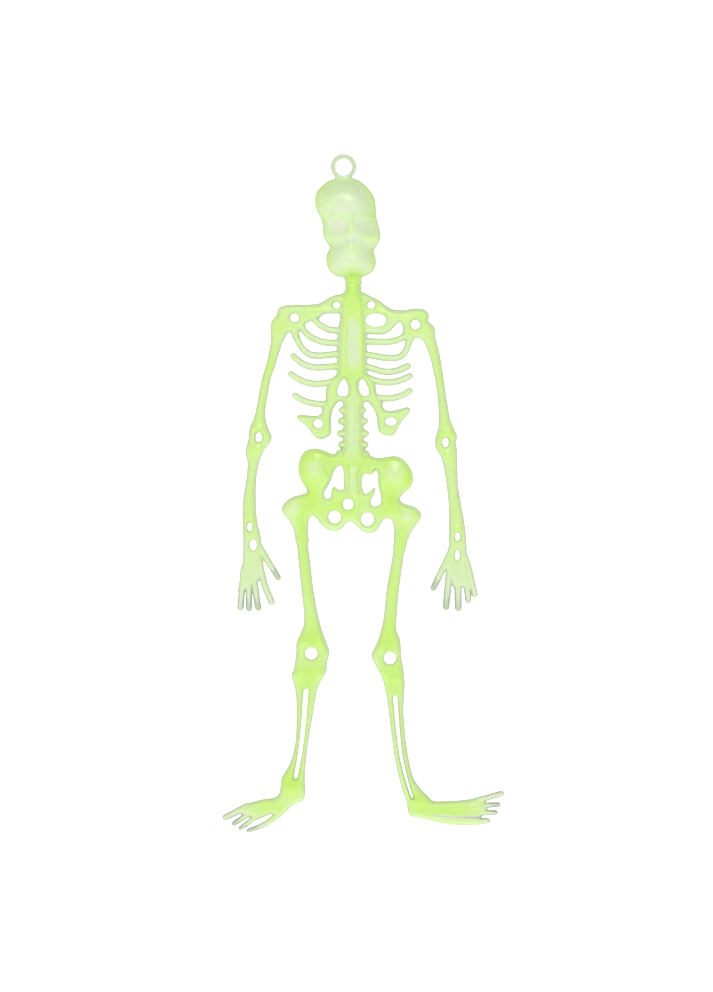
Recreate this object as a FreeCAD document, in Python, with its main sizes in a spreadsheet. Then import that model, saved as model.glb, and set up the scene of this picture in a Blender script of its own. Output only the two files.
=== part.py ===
import FreeCAD, Part
import math
import os

# A hanging skeleton decoration, moulded in one piece in soft glow-in-the-dark plastic.
# Millimetres. The origin is on the axis of the hanging ring, at the flat back of the figure.
# X is to the right seen from the front, Z is up, and the modelled relief faces -Y.
# The moulding is divided into its bones. Between two bones that move, the short length of
# plastic that flexes is a part of its own, called a web.

DIMENSIONS = {
    "figure_height": 320.0,
    "ring_bore_radius": 4.0,
    "ring_outer_radius": 5.8,
    "ring_thickness": 2.4,
    "skull_plate": 4.0,
    "skull_relief": 11.0,
    "shell_wall": 1.4,
    "spine_thickness": 5.0,
    "girdle_thickness": 3.2,
    "rib_thickness": 2.2,
    "limb_thickness": 3.2,
    "wrist_thickness": 2.6,
    "hand_thickness": 2.0,
    "foot_thickness": 3.0,
    "toe_thickness": 2.0,
    "pelvis_thickness": 3.6,
    "pelvis_relief": 6.0,
    "trochanter_relief": 4.6,
    "stripe_depth": 3.0,
    "edge_rounding": 0.7,
    "fine_rounding": 0.5,
    "finger_rounding": 0.3,
}

# Half-width of the ribs, and the levels of the webs, each from top to bottom.
RIB = 1.45
NECK_WEB = (-53.4, -58.0)
WAIST_WEB = (-121.0, -124.6)
LEFT_WEBS = {
    "shoulder": (-84.5, -88.5),
    "elbow": (-125.0, -130.6),
    "wrist": (-167.5, -172.5),
    "hip": (-174.0, -179.0),
    "knee": (-225.4, -234.4),
    "ankle": (-286.5, -292.0),
}
RIGHT_WEBS = {
    "shoulder": (-87.0, -91.0),
    "elbow": (-127.4, -133.0),
    "wrist": (-172.5, -177.2),
    "hip": (-177.0, -182.0),
    "knee": (-227.6, -236.6),
    "ankle": (-294.5, -299.9),
}

# Edges of the limbs from top to bottom, as (x, z).
LEFT_ARM_OUTER = [
    (-34.2, -80.0), (-34.4, -84.5), (-35.5, -90.0), (-36.9, -95.0), (-38.4, -100.0),
    (-39.6, -106.0), (-40.7, -112.0), (-41.6, -116.5), (-42.7, -120.0), (-44.0, -122.6),
    (-44.6, -125.5), (-44.7, -128.0), (-45.3, -130.8), (-46.0, -133.0), (-46.0, -136.0),
    (-45.3, -139.0), (-45.3, -143.0), (-46.0, -149.0), (-47.0, -155.0), (-47.6, -162.0),
    (-47.5, -170.0), (-47.2, -178.0),
]
LEFT_ARM_INNER = [
    (-27.5, -80.0), (-29.4, -84.5), (-31.2, -90.0), (-32.7, -95.0), (-34.2, -99.0),
    (-35.3, -104.0), (-36.3, -110.0), (-37.0, -115.0), (-36.9, -119.0), (-36.2, -122.0),
    (-35.0, -125.0), (-34.0, -127.8), (-35.0, -130.6), (-36.8, -132.6), (-38.2, -135.0),
    (-39.6, -138.5), (-40.6, -142.5), (-41.3, -147.0), (-41.6, -153.0), (-41.5, -160.0),
    (-41.1, -166.0), (-40.4, -170.0), (-39.5, -173.0), (-38.9, -178.0),
]
RIGHT_ARM_OUTER = [
    (44.0, -83.5), (44.8, -87.0), (45.9, -92.0), (46.8, -97.0), (47.5, -102.0),
    (48.3, -108.0), (49.2, -113.0), (50.0, -118.0), (51.3, -122.0), (52.7, -125.0),
    (53.6, -127.4), (53.0, -130.5), (53.6, -134.5), (53.7, -142.0), (54.1, -151.0),
    (55.8, -161.0), (56.8, -167.0), (57.6, -173.0), (58.0, -179.0),
]
RIGHT_ARM_INNER = [
    (39.3, -85.0), (40.2, -87.0), (41.4, -91.0), (42.2, -95.0), (43.3, -100.0),
    (44.3, -106.0), (44.9, -112.0), (45.1, -118.0), (45.0, -123.0), (44.0, -126.0),
    (43.4, -129.5), (43.8, -133.0), (46.5, -138.0), (47.7, -143.0), (48.7, -149.0),
    (49.4, -155.0), (49.9, -161.0), (50.0, -168.0), (50.0, -174.0), (49.8, -179.0),
]
LEFT_LEG_OUTER = [
    (-23.2, -172.0), (-22.3, -176.0), (-21.6, -181.0), (-20.9, -189.0), (-20.0, -197.0),
    (-19.2, -205.0), (-18.5, -211.0), (-18.6, -216.0), (-20.0, -220.0), (-22.1, -225.0),
    (-22.2, -229.5), (-22.8, -234.0), (-23.3, -237.0), (-24.5, -240.3), (-23.2, -244.8),
    (-22.2, -251.0), (-22.1, -262.0), (-22.5, -271.0), (-23.5, -276.6), (-25.4, -282.4),
    (-28.8, -288.2), (-29.6, -292.0),
]
LEFT_LEG_INNER = [
    (-16.8, -172.0), (-16.9, -176.0), (-16.6, -181.0), (-15.7, -188.0), (-14.7, -197.0),
    (-13.4, -205.5), (-11.6, -214.0), (-9.8, -220.6), (-7.9, -225.4), (-6.8, -229.8),
    (-7.9, -234.4), (-8.1, -238.2), (-11.2, -243.8), (-12.8, -248.5), (-14.2, -256.5),
    (-16.1, -268.0), (-17.2, -275.0), (-18.0, -283.0), (-18.4, -292.0),
]
RIGHT_LEG_OUTER = [
    (30.5, -175.0), (29.4, -179.0), (28.3, -184.3), (27.3, -191.0), (26.2, -199.0),
    (25.4, -207.0), (24.9, -215.0), (25.0, -219.3), (26.6, -223.3), (27.0, -227.6),
    (27.4, -233.0), (28.4, -238.5), (28.8, -244.8), (28.4, -252.0), (28.2, -257.0),
    (28.6, -263.3), (29.2, -270.3), (30.2, -277.2), (31.5, -283.6), (33.2, -289.3),
    (36.8, -294.5), (39.9, -297.4), (42.2, -299.9),
]
RIGHT_LEG_INNER = [
    (24.1, -175.0), (23.8, -180.0), (22.9, -186.0), (21.5, -194.0), (20.4, -200.5),
    (19.4, -210.5), (18.4, -216.8), (16.7, -222.8), (14.6, -227.6), (13.3, -231.3),
    (15.8, -236.6), (18.2, -241.2), (19.7, -246.6), (21.0, -253.5), (22.0, -262.0),
    (23.4, -273.2), (25.0, -283.0), (27.2, -292.2), (28.3, -295.7), (30.0, -299.9),
]

# Ribs of each side from top to bottom: centre line from the spine outwards, as (x, z).
LEFT_RIBS = [
    [(-0.6, -77.3), (-3.5, -77.3), (-7.0, -76.8), (-10.0, -75.4), (-12.5, -73.3), (-15.0, -70.4)],
    [(-1.6, -83.2), (-8.0, -83.0), (-12.0, -82.0), (-16.0, -80.0), (-18.5, -77.5), (-20.6, -73.9)],
    [(-1.6, -88.2), (-8.0, -88.9), (-12.0, -89.2), (-15.5, -88.7), (-18.0, -87.2), (-20.0, -85.0),
     (-21.3, -82.5), (-23.0, -77.9)],
    [(-1.6, -94.2), (-6.0, -94.4), (-10.5, -94.8), (-14.5, -94.6), (-18.0, -93.6), (-21.0, -91.8),
     (-23.0, -89.9)],
    [(-5.0, -101.4), (-10.5, -102.4), (-14.5, -102.4), (-18.5, -101.5), (-22.0, -99.8),
     (-24.1, -98.4)],
    [(-7.0, -112.2), (-12.0, -112.0), (-16.0, -111.3), (-20.0, -109.9), (-22.1, -108.5)],
]
RIGHT_RIBS = [
    [(9.6, -77.3), (15.0, -77.6), (18.5, -77.5), (21.5, -76.0), (24.8, -72.2)],
    [(9.6, -82.3), (15.0, -82.6), (20.0, -82.7), (24.0, -82.2), (30.6, -80.2)],
    [(9.6, -88.4), (15.0, -89.4), (20.0, -90.2), (24.0, -90.3), (27.0, -89.5), (29.2, -87.2),
     (30.5, -84.0), (31.2, -80.5)],
    [(9.6, -93.8), (14.0, -95.3), (18.0, -96.5), (22.0, -96.8), (26.0, -96.0), (29.6, -94.4)],
    [(11.6, -99.6), (16.0, -101.2), (20.0, -101.8), (25.0, -101.4), (30.4, -99.3)],
    [(14.8, -109.0), (20.0, -109.4), (24.0, -109.0), (28.0, -107.8), (30.6, -106.3)],
]

V = FreeCAD.Vector
os.makedirs("parts", exist_ok=True)
doc = FreeCAD.newDocument("hanging_skeleton")
sheet = doc.addObject("Spreadsheet::Sheet", "dimensions")
for row, (alias, value) in enumerate(DIMENSIONS.items(), start=1):
    sheet.set(f"A{row}", alias)
    sheet.set(f"B{row}", str(value))
    sheet.setAlias(f"B{row}", alias)
doc.recompute()

SCALE = DIMENSIONS["figure_height"] / 320.0
nodes = []


def size(alias):
    """Value of a named dimension."""
    return float(sheet.get(alias))


def level(edge, z):
    """Point of an edge at a level."""
    for (x0, z0), (x1, z1) in zip(edge, edge[1:]):
        if z1 <= z <= z0:
            return (x0 + (x1 - x0) * (z0 - z) / (z0 - z1), z)
    raise ValueError(f"no point at level {z}")


def between(edge, top, bottom):
    """Points of an edge from one level down to another."""
    inside = [point for point in edge if bottom + 0.7 < point[1] < top - 0.7]
    return [level(edge, top)] + inside + [level(edge, bottom)]


def stroke(points, widths, round_start=False):
    """Outline of a bar along points, as wide to each side as widths says, with a round end."""
    one, other, along = [], [], []
    for number, (x, z) in enumerate(points):
        x0, z0 = points[max(number - 1, 0)]
        x1, z1 = points[min(number + 1, len(points) - 1)]
        length = math.hypot(x1 - x0, z1 - z0)
        dx, dz = (x1 - x0) / length, (z1 - z0) / length
        share = number / (len(points) - 1)
        half = widths[0] + (widths[1] - widths[0]) * share
        along.append((dx * half, dz * half))
        one.append((x - dz * half, z + dx * half))
        other.append((x + dz * half, z - dx * half))
    tip = (points[-1][0] + along[-1][0], points[-1][1] + along[-1][1])
    tail = (points[0][0] - along[0][0], points[0][1] - along[0][1])
    start = ("arc", [other[0], tail, one[0]]) if round_start else ("sides", [other[0], one[0]])
    return [("curve", one), ("arc", [one[-1], tip, other[-1]]), ("curve", other[::-1]), start]


def new_sketch(body, name, runs=(), circles=(), ellipses=()):
    """Sketch on the flat back of a body: closed outlines made of runs, circles and ellipses."""
    plane = next(f for f in body.Origin.OriginFeatures if f.Role == "XZ_Plane")
    sketch = body.newObject("Sketcher::SketchObject", name)
    sketch.AttachmentSupport = [(plane, "")]
    sketch.MapMode = "FlatFace"
    for kind, points in runs:
        ends = [V(x * SCALE, z * SCALE, 0) for x, z in points]
        if kind == "arc":
            sketch.addGeometry(Part.Arc(*ends), False)
        elif kind == "curve" and len(ends) > 2:
            curve = Part.BSplineCurve()
            curve.interpolate(ends)
            sketch.addGeometry(curve, False)
        else:
            for start, end in zip(ends, ends[1:]):
                sketch.addGeometry(Part.LineSegment(start, end), False)
    for x, z, radius in circles:
        centre = V(x * SCALE, z * SCALE, 0)
        sketch.addGeometry(Part.Circle(centre, V(0, 0, 1), radius * SCALE), False)
    for x, z, wide, high in ellipses:
        centre = V(x * SCALE, z * SCALE, 0)
        across, up = V(wide * SCALE, 0, 0), V(0, high * SCALE, 0)
        long, short = (across, up) if wide > high else (up, V(-wide * SCALE, 0, 0))
        sketch.addGeometry(Part.Ellipse(centre + long, centre + short, centre), False)
    return sketch


def add_plate(body, runs, thickness, name="plate"):
    """Plate of a named thickness, from the flat back towards the front."""
    pad = body.newObject("PartDesign::Pad", f"{body.Name}_{name}")
    pad.Profile = new_sketch(body, f"{body.Name}_{name}_outline", runs)
    pad.setExpression("Length", f"{sheet.Name}.{thickness}")
    doc.recompute()
    return pad


def cut_through(body, runs=(), circles=(), ellipses=(), name="holes"):
    """Holes from the back to the front of a body."""
    before = body.Shape.Volume
    pocket = body.newObject("PartDesign::Pocket", f"{body.Name}_{name}")
    pocket.Profile = new_sketch(body, f"{body.Name}_{name}_outline", runs, circles, ellipses)
    pocket.Type = "ThroughAll"
    pocket.Midplane = True
    doc.recompute()
    if not body.Shape.Volume < before:
        raise ValueError(f"{body.Label}: {name} cut nothing")


def recess_back(body, depth, runs, name):
    """Recess in the flat back of a body, as deep as a named dimension."""
    before = body.Shape.Volume
    pocket = body.newObject("PartDesign::Pocket", f"{body.Name}_{name}")
    pocket.Profile = new_sketch(body, f"{body.Name}_{name}_outline", runs)
    pocket.Reversed = True
    pocket.setExpression("Length", f"{sheet.Name}.{depth}")
    doc.recompute()
    if not body.Shape.Volume < before:
        raise ValueError(f"{body.Label}: {name} cut nothing")


def round_front(body, thickness, rounding, cuts=()):
    """Round the edges of the front face, but not those on a cut to the next section."""
    front = -size(thickness)
    names = []
    for number, edge in enumerate(body.Shape.Edges, start=1):
        box = edge.BoundBox
        flat = abs(box.YMin - front) < 1e-3 and abs(box.YMax - front) < 1e-3
        spans = {"x": (box.XMin, box.XMax), "z": (box.ZMin, box.ZMax)}
        on_cut = any(
            max(abs(end - place * SCALE) for end in spans[axis]) < 1e-3 for axis, place in cuts
        )
        if flat and not on_cut:
            names.append(f"Edge{number}")
    base = body.Tip
    fillet = body.newObject("PartDesign::Fillet", f"{body.Name}_rounding")
    fillet.Base = (base, names)
    fillet.setExpression("Radius", f"{sheet.Name}.{rounding}")
    doc.recompute()


def ellipsoid(body, name, centre, wide, deep, high, cut=False, back=0.0):
    """Ellipsoid on a body, or cut from it; deep and back are its depth and distance in Y."""
    kind = "PartDesign::SubtractiveEllipsoid" if cut else "PartDesign::AdditiveEllipsoid"
    solid = body.newObject(kind, f"{body.Name}_{name}")
    solid.Radius1 = high * SCALE
    solid.Radius2 = wide * SCALE
    if isinstance(deep, str):
        solid.setExpression("Radius3", deep)
    else:
        solid.Radius3 = deep * SCALE
    x, z = centre
    solid.Placement.Base = V(x * SCALE, -back * SCALE, z * SCALE)
    doc.recompute()


def flatten_back(body):
    """Cut away whatever stands behind the flat back."""
    box = body.newObject("PartDesign::SubtractiveBox", f"{body.Name}_back")
    box.Length = 300 * SCALE
    box.Width = 40 * SCALE
    box.Height = 400 * SCALE
    box.Placement.Base = V(-150 * SCALE, 0, -360 * SCALE)
    doc.recompute()


def new_body(label):
    """Empty body that becomes the named node."""
    body = doc.addObject("PartDesign::Body", label)
    body.Label = label
    return body


def keep(node, label):
    """Add an object to the nodes that are exported."""
    node.Label = label
    nodes.append(node)
    return node


def without(raw, tools, label):
    """The raw body with the other bodies that it is moulded onto taken away."""
    result = raw
    for number, tool in enumerate(tools):
        last = number == len(tools) - 1
        cut = doc.addObject("Part::Cut", label if last else f"{label}_cut_{number}")
        cut.Base = result
        cut.Tool = tool
        cut.Refine = True
        doc.recompute()
        result = cut
    return keep(result, label)


def limb_section(label, outer, inner, top, bottom, thickness, rounding="edge_rounding", holes=None):
    """Section of a limb between two levels."""
    body = new_body(label)
    one = between(outer, top, bottom)
    other = between(inner, top, bottom)[::-1]
    runs = [
        ("curve", one), ("sides", [one[-1], other[0]]),
        ("curve", other), ("sides", [other[-1], one[0]]),
    ]
    add_plate(body, runs, thickness)
    round_front(body, thickness, rounding, [("z", top), ("z", bottom)])
    if holes:
        cut_through(body, **holes)
    return keep(body, label)


def make_skull():
    """Open-backed skull, seen a little from its right side, with the top of the neck."""
    body = new_body("skull")
    right = [
        (8.4, -52.0), (11.0, -51.0), (13.5, -49.5), (14.9, -47.0), (15.2, -44.0), (14.4, -41.0),
        (14.2, -39.3), (15.2, -37.8), (16.6, -35.5), (17.3, -33.0), (17.0, -30.0), (16.2, -27.0),
        (15.5, -24.0), (15.2, -21.0), (15.0, -17.5), (14.2, -14.0), (12.5, -11.3), (10.5, -9.0),
        (8.0, -7.0), (5.0, -5.6), (0.0, -5.0),
    ]
    left = [
        (0.0, -5.0), (-5.0, -6.0), (-8.0, -7.3), (-10.5, -9.5), (-12.3, -11.5), (-13.2, -14.0),
        (-13.3, -17.0), (-12.8, -19.5), (-11.5, -22.5), (-10.3, -25.0), (-9.8, -28.0),
        (-9.8, -31.0), (-8.8, -34.0), (-7.2, -36.6), (-6.3, -38.2), (-7.2, -40.0), (-7.9, -42.0),
        (-8.0, -44.5), (-7.3, -47.5), (-5.5, -50.0), (-3.0, -51.5), (0.6, -52.2),
    ]
    neck = [(0.6, -52.2), (0.6, NECK_WEB[0]), (8.4, NECK_WEB[0]), (8.4, -52.0)]
    add_plate(body, [("curve", right), ("curve", left), ("sides", neck)], "skull_plate")
    relief = f"{sheet.Name}.skull_relief"
    wall = f"{sheet.Name}.shell_wall"
    ellipsoid(body, "cranium", (1.1, -19.0), 13.4, relief, 13.4)
    ellipsoid(body, "face", (4.0, -34.0), 10.8, f"{relief} - 0.6", 9.6)
    ellipsoid(body, "chin", (3.6, -45.4), 10.4, f"{relief} - 1.8", 6.6)
    flatten_back(body)
    ellipsoid(body, "cranium_core", (1.1, -17.0), 11.6, f"{relief} - {wall}", 9.6, cut=True)
    ellipsoid(body, "face_core", (4.0, -36.0), 8.4, f"{relief} - 3.2 * {wall}", 6.4, cut=True)
    ellipsoid(body, "chin_core", (3.6, -45.6), 8.2, f"{relief} - 3.2 * {wall}", 4.2, cut=True)
    ellipsoid(body, "left_socket", (-2.7, -28.5), 3.7, 3.4, 3.5, cut=True, back=10.4)
    ellipsoid(body, "right_socket", (10.0, -28.5), 3.3, 3.4, 3.5, cut=True, back=9.6)
    ellipsoid(body, "nose", (3.6, -35.2), 2.1, 2.0, 1.9, cut=True, back=10.2)
    mouth = body.newObject("PartDesign::SubtractiveBox", "skull_mouth")
    mouth.Length = 17 * SCALE
    mouth.Width = 6 * SCALE
    mouth.Height = 0.8 * SCALE
    mouth.Placement.Base = V(-5 * SCALE, -14.4 * SCALE, -43.8 * SCALE)
    doc.recompute()
    return keep(body, "skull")


def make_ring(skull):
    """Hanging ring with its stem, moulded onto the top of the skull."""
    body = new_body("ring_blank")
    outer, bore = size("ring_outer_radius"), size("ring_bore_radius")
    pad = body.newObject("PartDesign::Pad", "ring_plate")
    pad.Profile = new_sketch(body, "ring_outline", circles=[(0, 0, outer / SCALE)])
    pad.setExpression("Length", f"{sheet.Name}.ring_thickness")
    doc.recompute()
    round_front(body, "ring_thickness", "fine_rounding")
    stem = [(-3.7, -4.4), (3.6, -4.4), (3.6, -7.0), (-3.7, -7.0), (-3.7, -4.4)]
    add_plate(body, [("sides", stem)], "ring_thickness", "stem")
    cut_through(body, circles=[(0, 0, bore / SCALE)], name="bore")
    return without(body, [skull], "hanging_ring")


def make_breastplate():
    """Column of the breastbone, from the neck down to the spine, with a recessed back."""
    body = new_body("breastplate")
    outline = [
        (0.6, NECK_WEB[1]), (0.4, -59.6), (-1.2, -60.4), (-1.2, -76.4), (-2.6, -78.0),
        (-2.6, -98.5), (10.6, -98.5), (10.6, -60.5), (8.7, -59.2), (8.4, NECK_WEB[1]),
        (0.6, NECK_WEB[1]),
    ]
    add_plate(body, [("sides", outline)], "spine_thickness")
    cuts = [("z", NECK_WEB[1]), ("z", -98.5), ("x", -1.2), ("x", -2.6), ("x", 10.6)]
    round_front(body, "spine_thickness", "fine_rounding", cuts)
    stripe = stroke([(4.5, -73.2), (4.5, -93.8)], (2.9, 2.9), round_start=True)
    recess_back(body, "stripe_depth", stripe, name="stripe")
    return keep(body, "breastplate")


def make_upper_spine():
    """Spine from the breastbone to the waist, with the two drop-shaped holes beside it."""
    body = new_body("upper_spine")
    left = [
        (-4.2, -112.9), (-3.0, -111.4), (-1.6, -110.8), (-0.7, -111.8), (-1.6, -113.3),
        (-2.2, -115.0), (-1.2, -116.8), (-0.2, -117.8), (-1.2, -119.0), (-2.6, -120.3),
        (-2.7, WAIST_WEB[0]),
    ]
    right = [
        (11.6, WAIST_WEB[0]), (11.4, -119.8), (10.3, -118.2), (9.4, -117.0), (10.0, -115.8),
        (10.7, -114.4), (10.2, -112.8), (9.6, -111.7), (10.3, -111.1), (11.7, -111.4),
        (13.2, -112.7),
    ]
    add_plate(body, [
        ("sides", [(-2.6, -98.5), (-4.2, -99.4), (-4.2, -112.9)]),
        ("curve", left), ("sides", [left[-1], right[0]]), ("curve", right),
        ("sides", [(13.2, -112.7), (13.2, -99.6), (10.6, -98.5), (-2.6, -98.5)]),
    ], "spine_thickness")
    left_drop = [
        ("curve", [(0.3, -100.3), (-2.1, -102.8), (-2.9, -105.6), (-2.2, -107.7), (-0.2, -108.4),
                   (1.7, -107.8), (2.2, -105.4), (0.3, -100.3)]),
    ]
    right_drop = [
        ("curve", [(9.0, -100.3), (7.4, -102.4), (7.5, -105.4), (8.9, -107.7), (10.8, -108.4),
                   (12.2, -107.0), (11.3, -103.4), (9.0, -100.3)]),
    ]
    cut_through(body, left_drop, name="left_drop")
    cut_through(body, right_drop, name="right_drop")
    return keep(body, "upper_spine")


def make_shoulders():
    """Collar bone and shoulder blade of each side, down to the top of the arm."""
    web = LEFT_WEBS["shoulder"][0]
    body = new_body("left_shoulder")
    top = [
        (-1.2, -60.4), (-4.5, -60.9), (-7.0, -62.0), (-9.0, -63.3), (-11.5, -64.6),
        (-14.0, -65.0), (-24.0, -65.2), (-27.5, -65.6), (-30.0, -66.4), (-31.1, -67.8),
        (-31.4, -69.6), (-32.2, -70.9), (-33.5, -72.3), (-34.2, -74.5), (-34.3, -78.0),
        (-34.4, web),
    ]
    armpit = [(-29.4, web), (-28.2, -81.7), (-27.0, -79.4), (-25.9, -78.1), (-24.9, -78.3)]
    below = [
        (-24.9, -78.3), (-24.5, -80.0), (-21.2, -78.8), (-21.3, -77.0), (-20.8, -75.9),
        (-18.9, -74.5), (-17.6, -73.8), (-15.2, -72.2), (-13.0, -70.6), (-10.7, -70.6),
        (-9.4, -69.5), (-7.0, -69.2), (-1.2, -69.2), (-1.2, -60.4),
    ]
    add_plate(body, [
        ("curve", top), ("sides", [top[-1], armpit[0]]), ("curve", armpit), ("sides", below),
    ], "girdle_thickness")
    cut_through(body, circles=[(-23.1, -71.3, 2.1), (-3.3, -65.3, 1.7)])
    keep(body, "left_shoulder")

    web = RIGHT_WEBS["shoulder"][0]
    body = new_body("right_shoulder")
    top = [
        (10.6, -60.5), (12.0, -60.9), (15.0, -62.2), (18.0, -64.0), (20.0, -65.6),
        (23.0, -67.3), (26.0, -67.8), (29.0, -67.8), (32.0, -67.2), (35.0, -67.0),
        (38.0, -67.5), (39.8, -69.0), (40.2, -70.5), (40.2, -72.5), (41.4, -74.1),
        (42.7, -75.6), (43.2, -79.0), (44.0, -83.5), (44.8, web),
    ]
    armpit = [
        (40.2, web), (39.3, -84.8), (38.2, -82.7), (36.5, -81.3), (34.5, -81.0), (33.4, -81.8),
    ]
    below = [
        (33.4, -81.8), (33.1, -83.2), (29.6, -82.6), (28.7, -80.5),
        (27.9, -78.8), (28.1, -76.3), (27.6, -74.3), (26.0, -73.4), (24.6, -73.6),
        (22.3, -74.0), (19.6, -76.6), (10.6, -76.6), (10.6, -60.5),
    ]
    add_plate(body, [
        ("curve", top), ("sides", [top[-1], armpit[0]]), ("curve", armpit), ("sides", below),
    ], "girdle_thickness")
    cut_through(body, circles=[(34.0, -74.5, 2.3), (13.0, -65.3, 1.9)],
                ellipses=[(15.9, -72.4, 4.9, 3.2)])
    keep(body, "right_shoulder")


def make_costal_arches():
    """Arch of each side, from beside the spine down to the lobe under the ribs."""
    body = new_body("left_costal_arch")
    upper = [
        (-4.2, -99.4), (-5.9, -101.2), (-7.4, -103.2), (-8.2, -106.0), (-8.3, -110.2),
        (-9.4, -112.3), (-10.1, -114.3), (-10.3, -116.4), (-11.6, -117.4), (-13.5, -117.7),
        (-17.0, -117.5), (-20.6, -117.3),
    ]
    lower = [
        (-20.8, -119.7), (-18.8, -121.3), (-16.2, -124.1), (-14.0, -126.8), (-12.5, -128.2),
        (-10.5, -128.7), (-8.0, -127.8), (-6.2, -126.3), (-5.8, -123.5), (-6.0, -120.0),
        (-5.5, -116.0), (-4.2, -112.9),
    ]
    add_plate(body, [
        ("curve", upper), ("arc", [upper[-1], (-22.1, -118.5), lower[0]]),
        ("curve", lower), ("sides", [lower[-1], upper[0]]),
    ], "girdle_thickness")
    cut_through(body, circles=[(-12.0, -121.3, 2.2)])
    keep(body, "left_costal_arch")

    body = new_body("right_costal_arch")
    lower = [
        (13.2, -112.7), (14.3, -114.4), (15.5, -117.5), (16.0, -121.0), (16.7, -124.5),
        (18.0, -126.0), (20.0, -126.8), (22.5, -127.1), (24.2, -126.0), (26.0, -122.8),
        (28.0, -119.6), (30.9, -116.2),
    ]
    upper = [
        (30.1, -113.7), (27.0, -114.3), (23.0, -115.2), (20.0, -115.2), (18.7, -113.9),
        (18.2, -111.0), (16.6, -108.6), (15.5, -106.6), (15.1, -103.6), (13.2, -99.6),
    ]
    add_plate(body, [
        ("curve", lower), ("arc", [lower[-1], (31.6, -114.6), upper[0]]),
        ("curve", upper), ("sides", [upper[-1], lower[0]]),
    ], "girdle_thickness")
    cut_through(body, ellipses=[(22.3, -120.3, 2.7, 1.9)])
    keep(body, "right_costal_arch")


def make_ribs(side, ribs, bones):
    """Ribs of one side, each moulded onto the bones that it meets."""
    for number, points in enumerate(ribs, start=1):
        label = f"{side}_rib_{number}"
        body = new_body(f"{label}_bar")
        add_plate(body, stroke(points, (RIB, RIB * 0.95)), "rib_thickness")
        touching = [bone for bone in bones if bone.Shape.common(body.Shape).Volume > 1e-6]
        without(body, touching, label)


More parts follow.
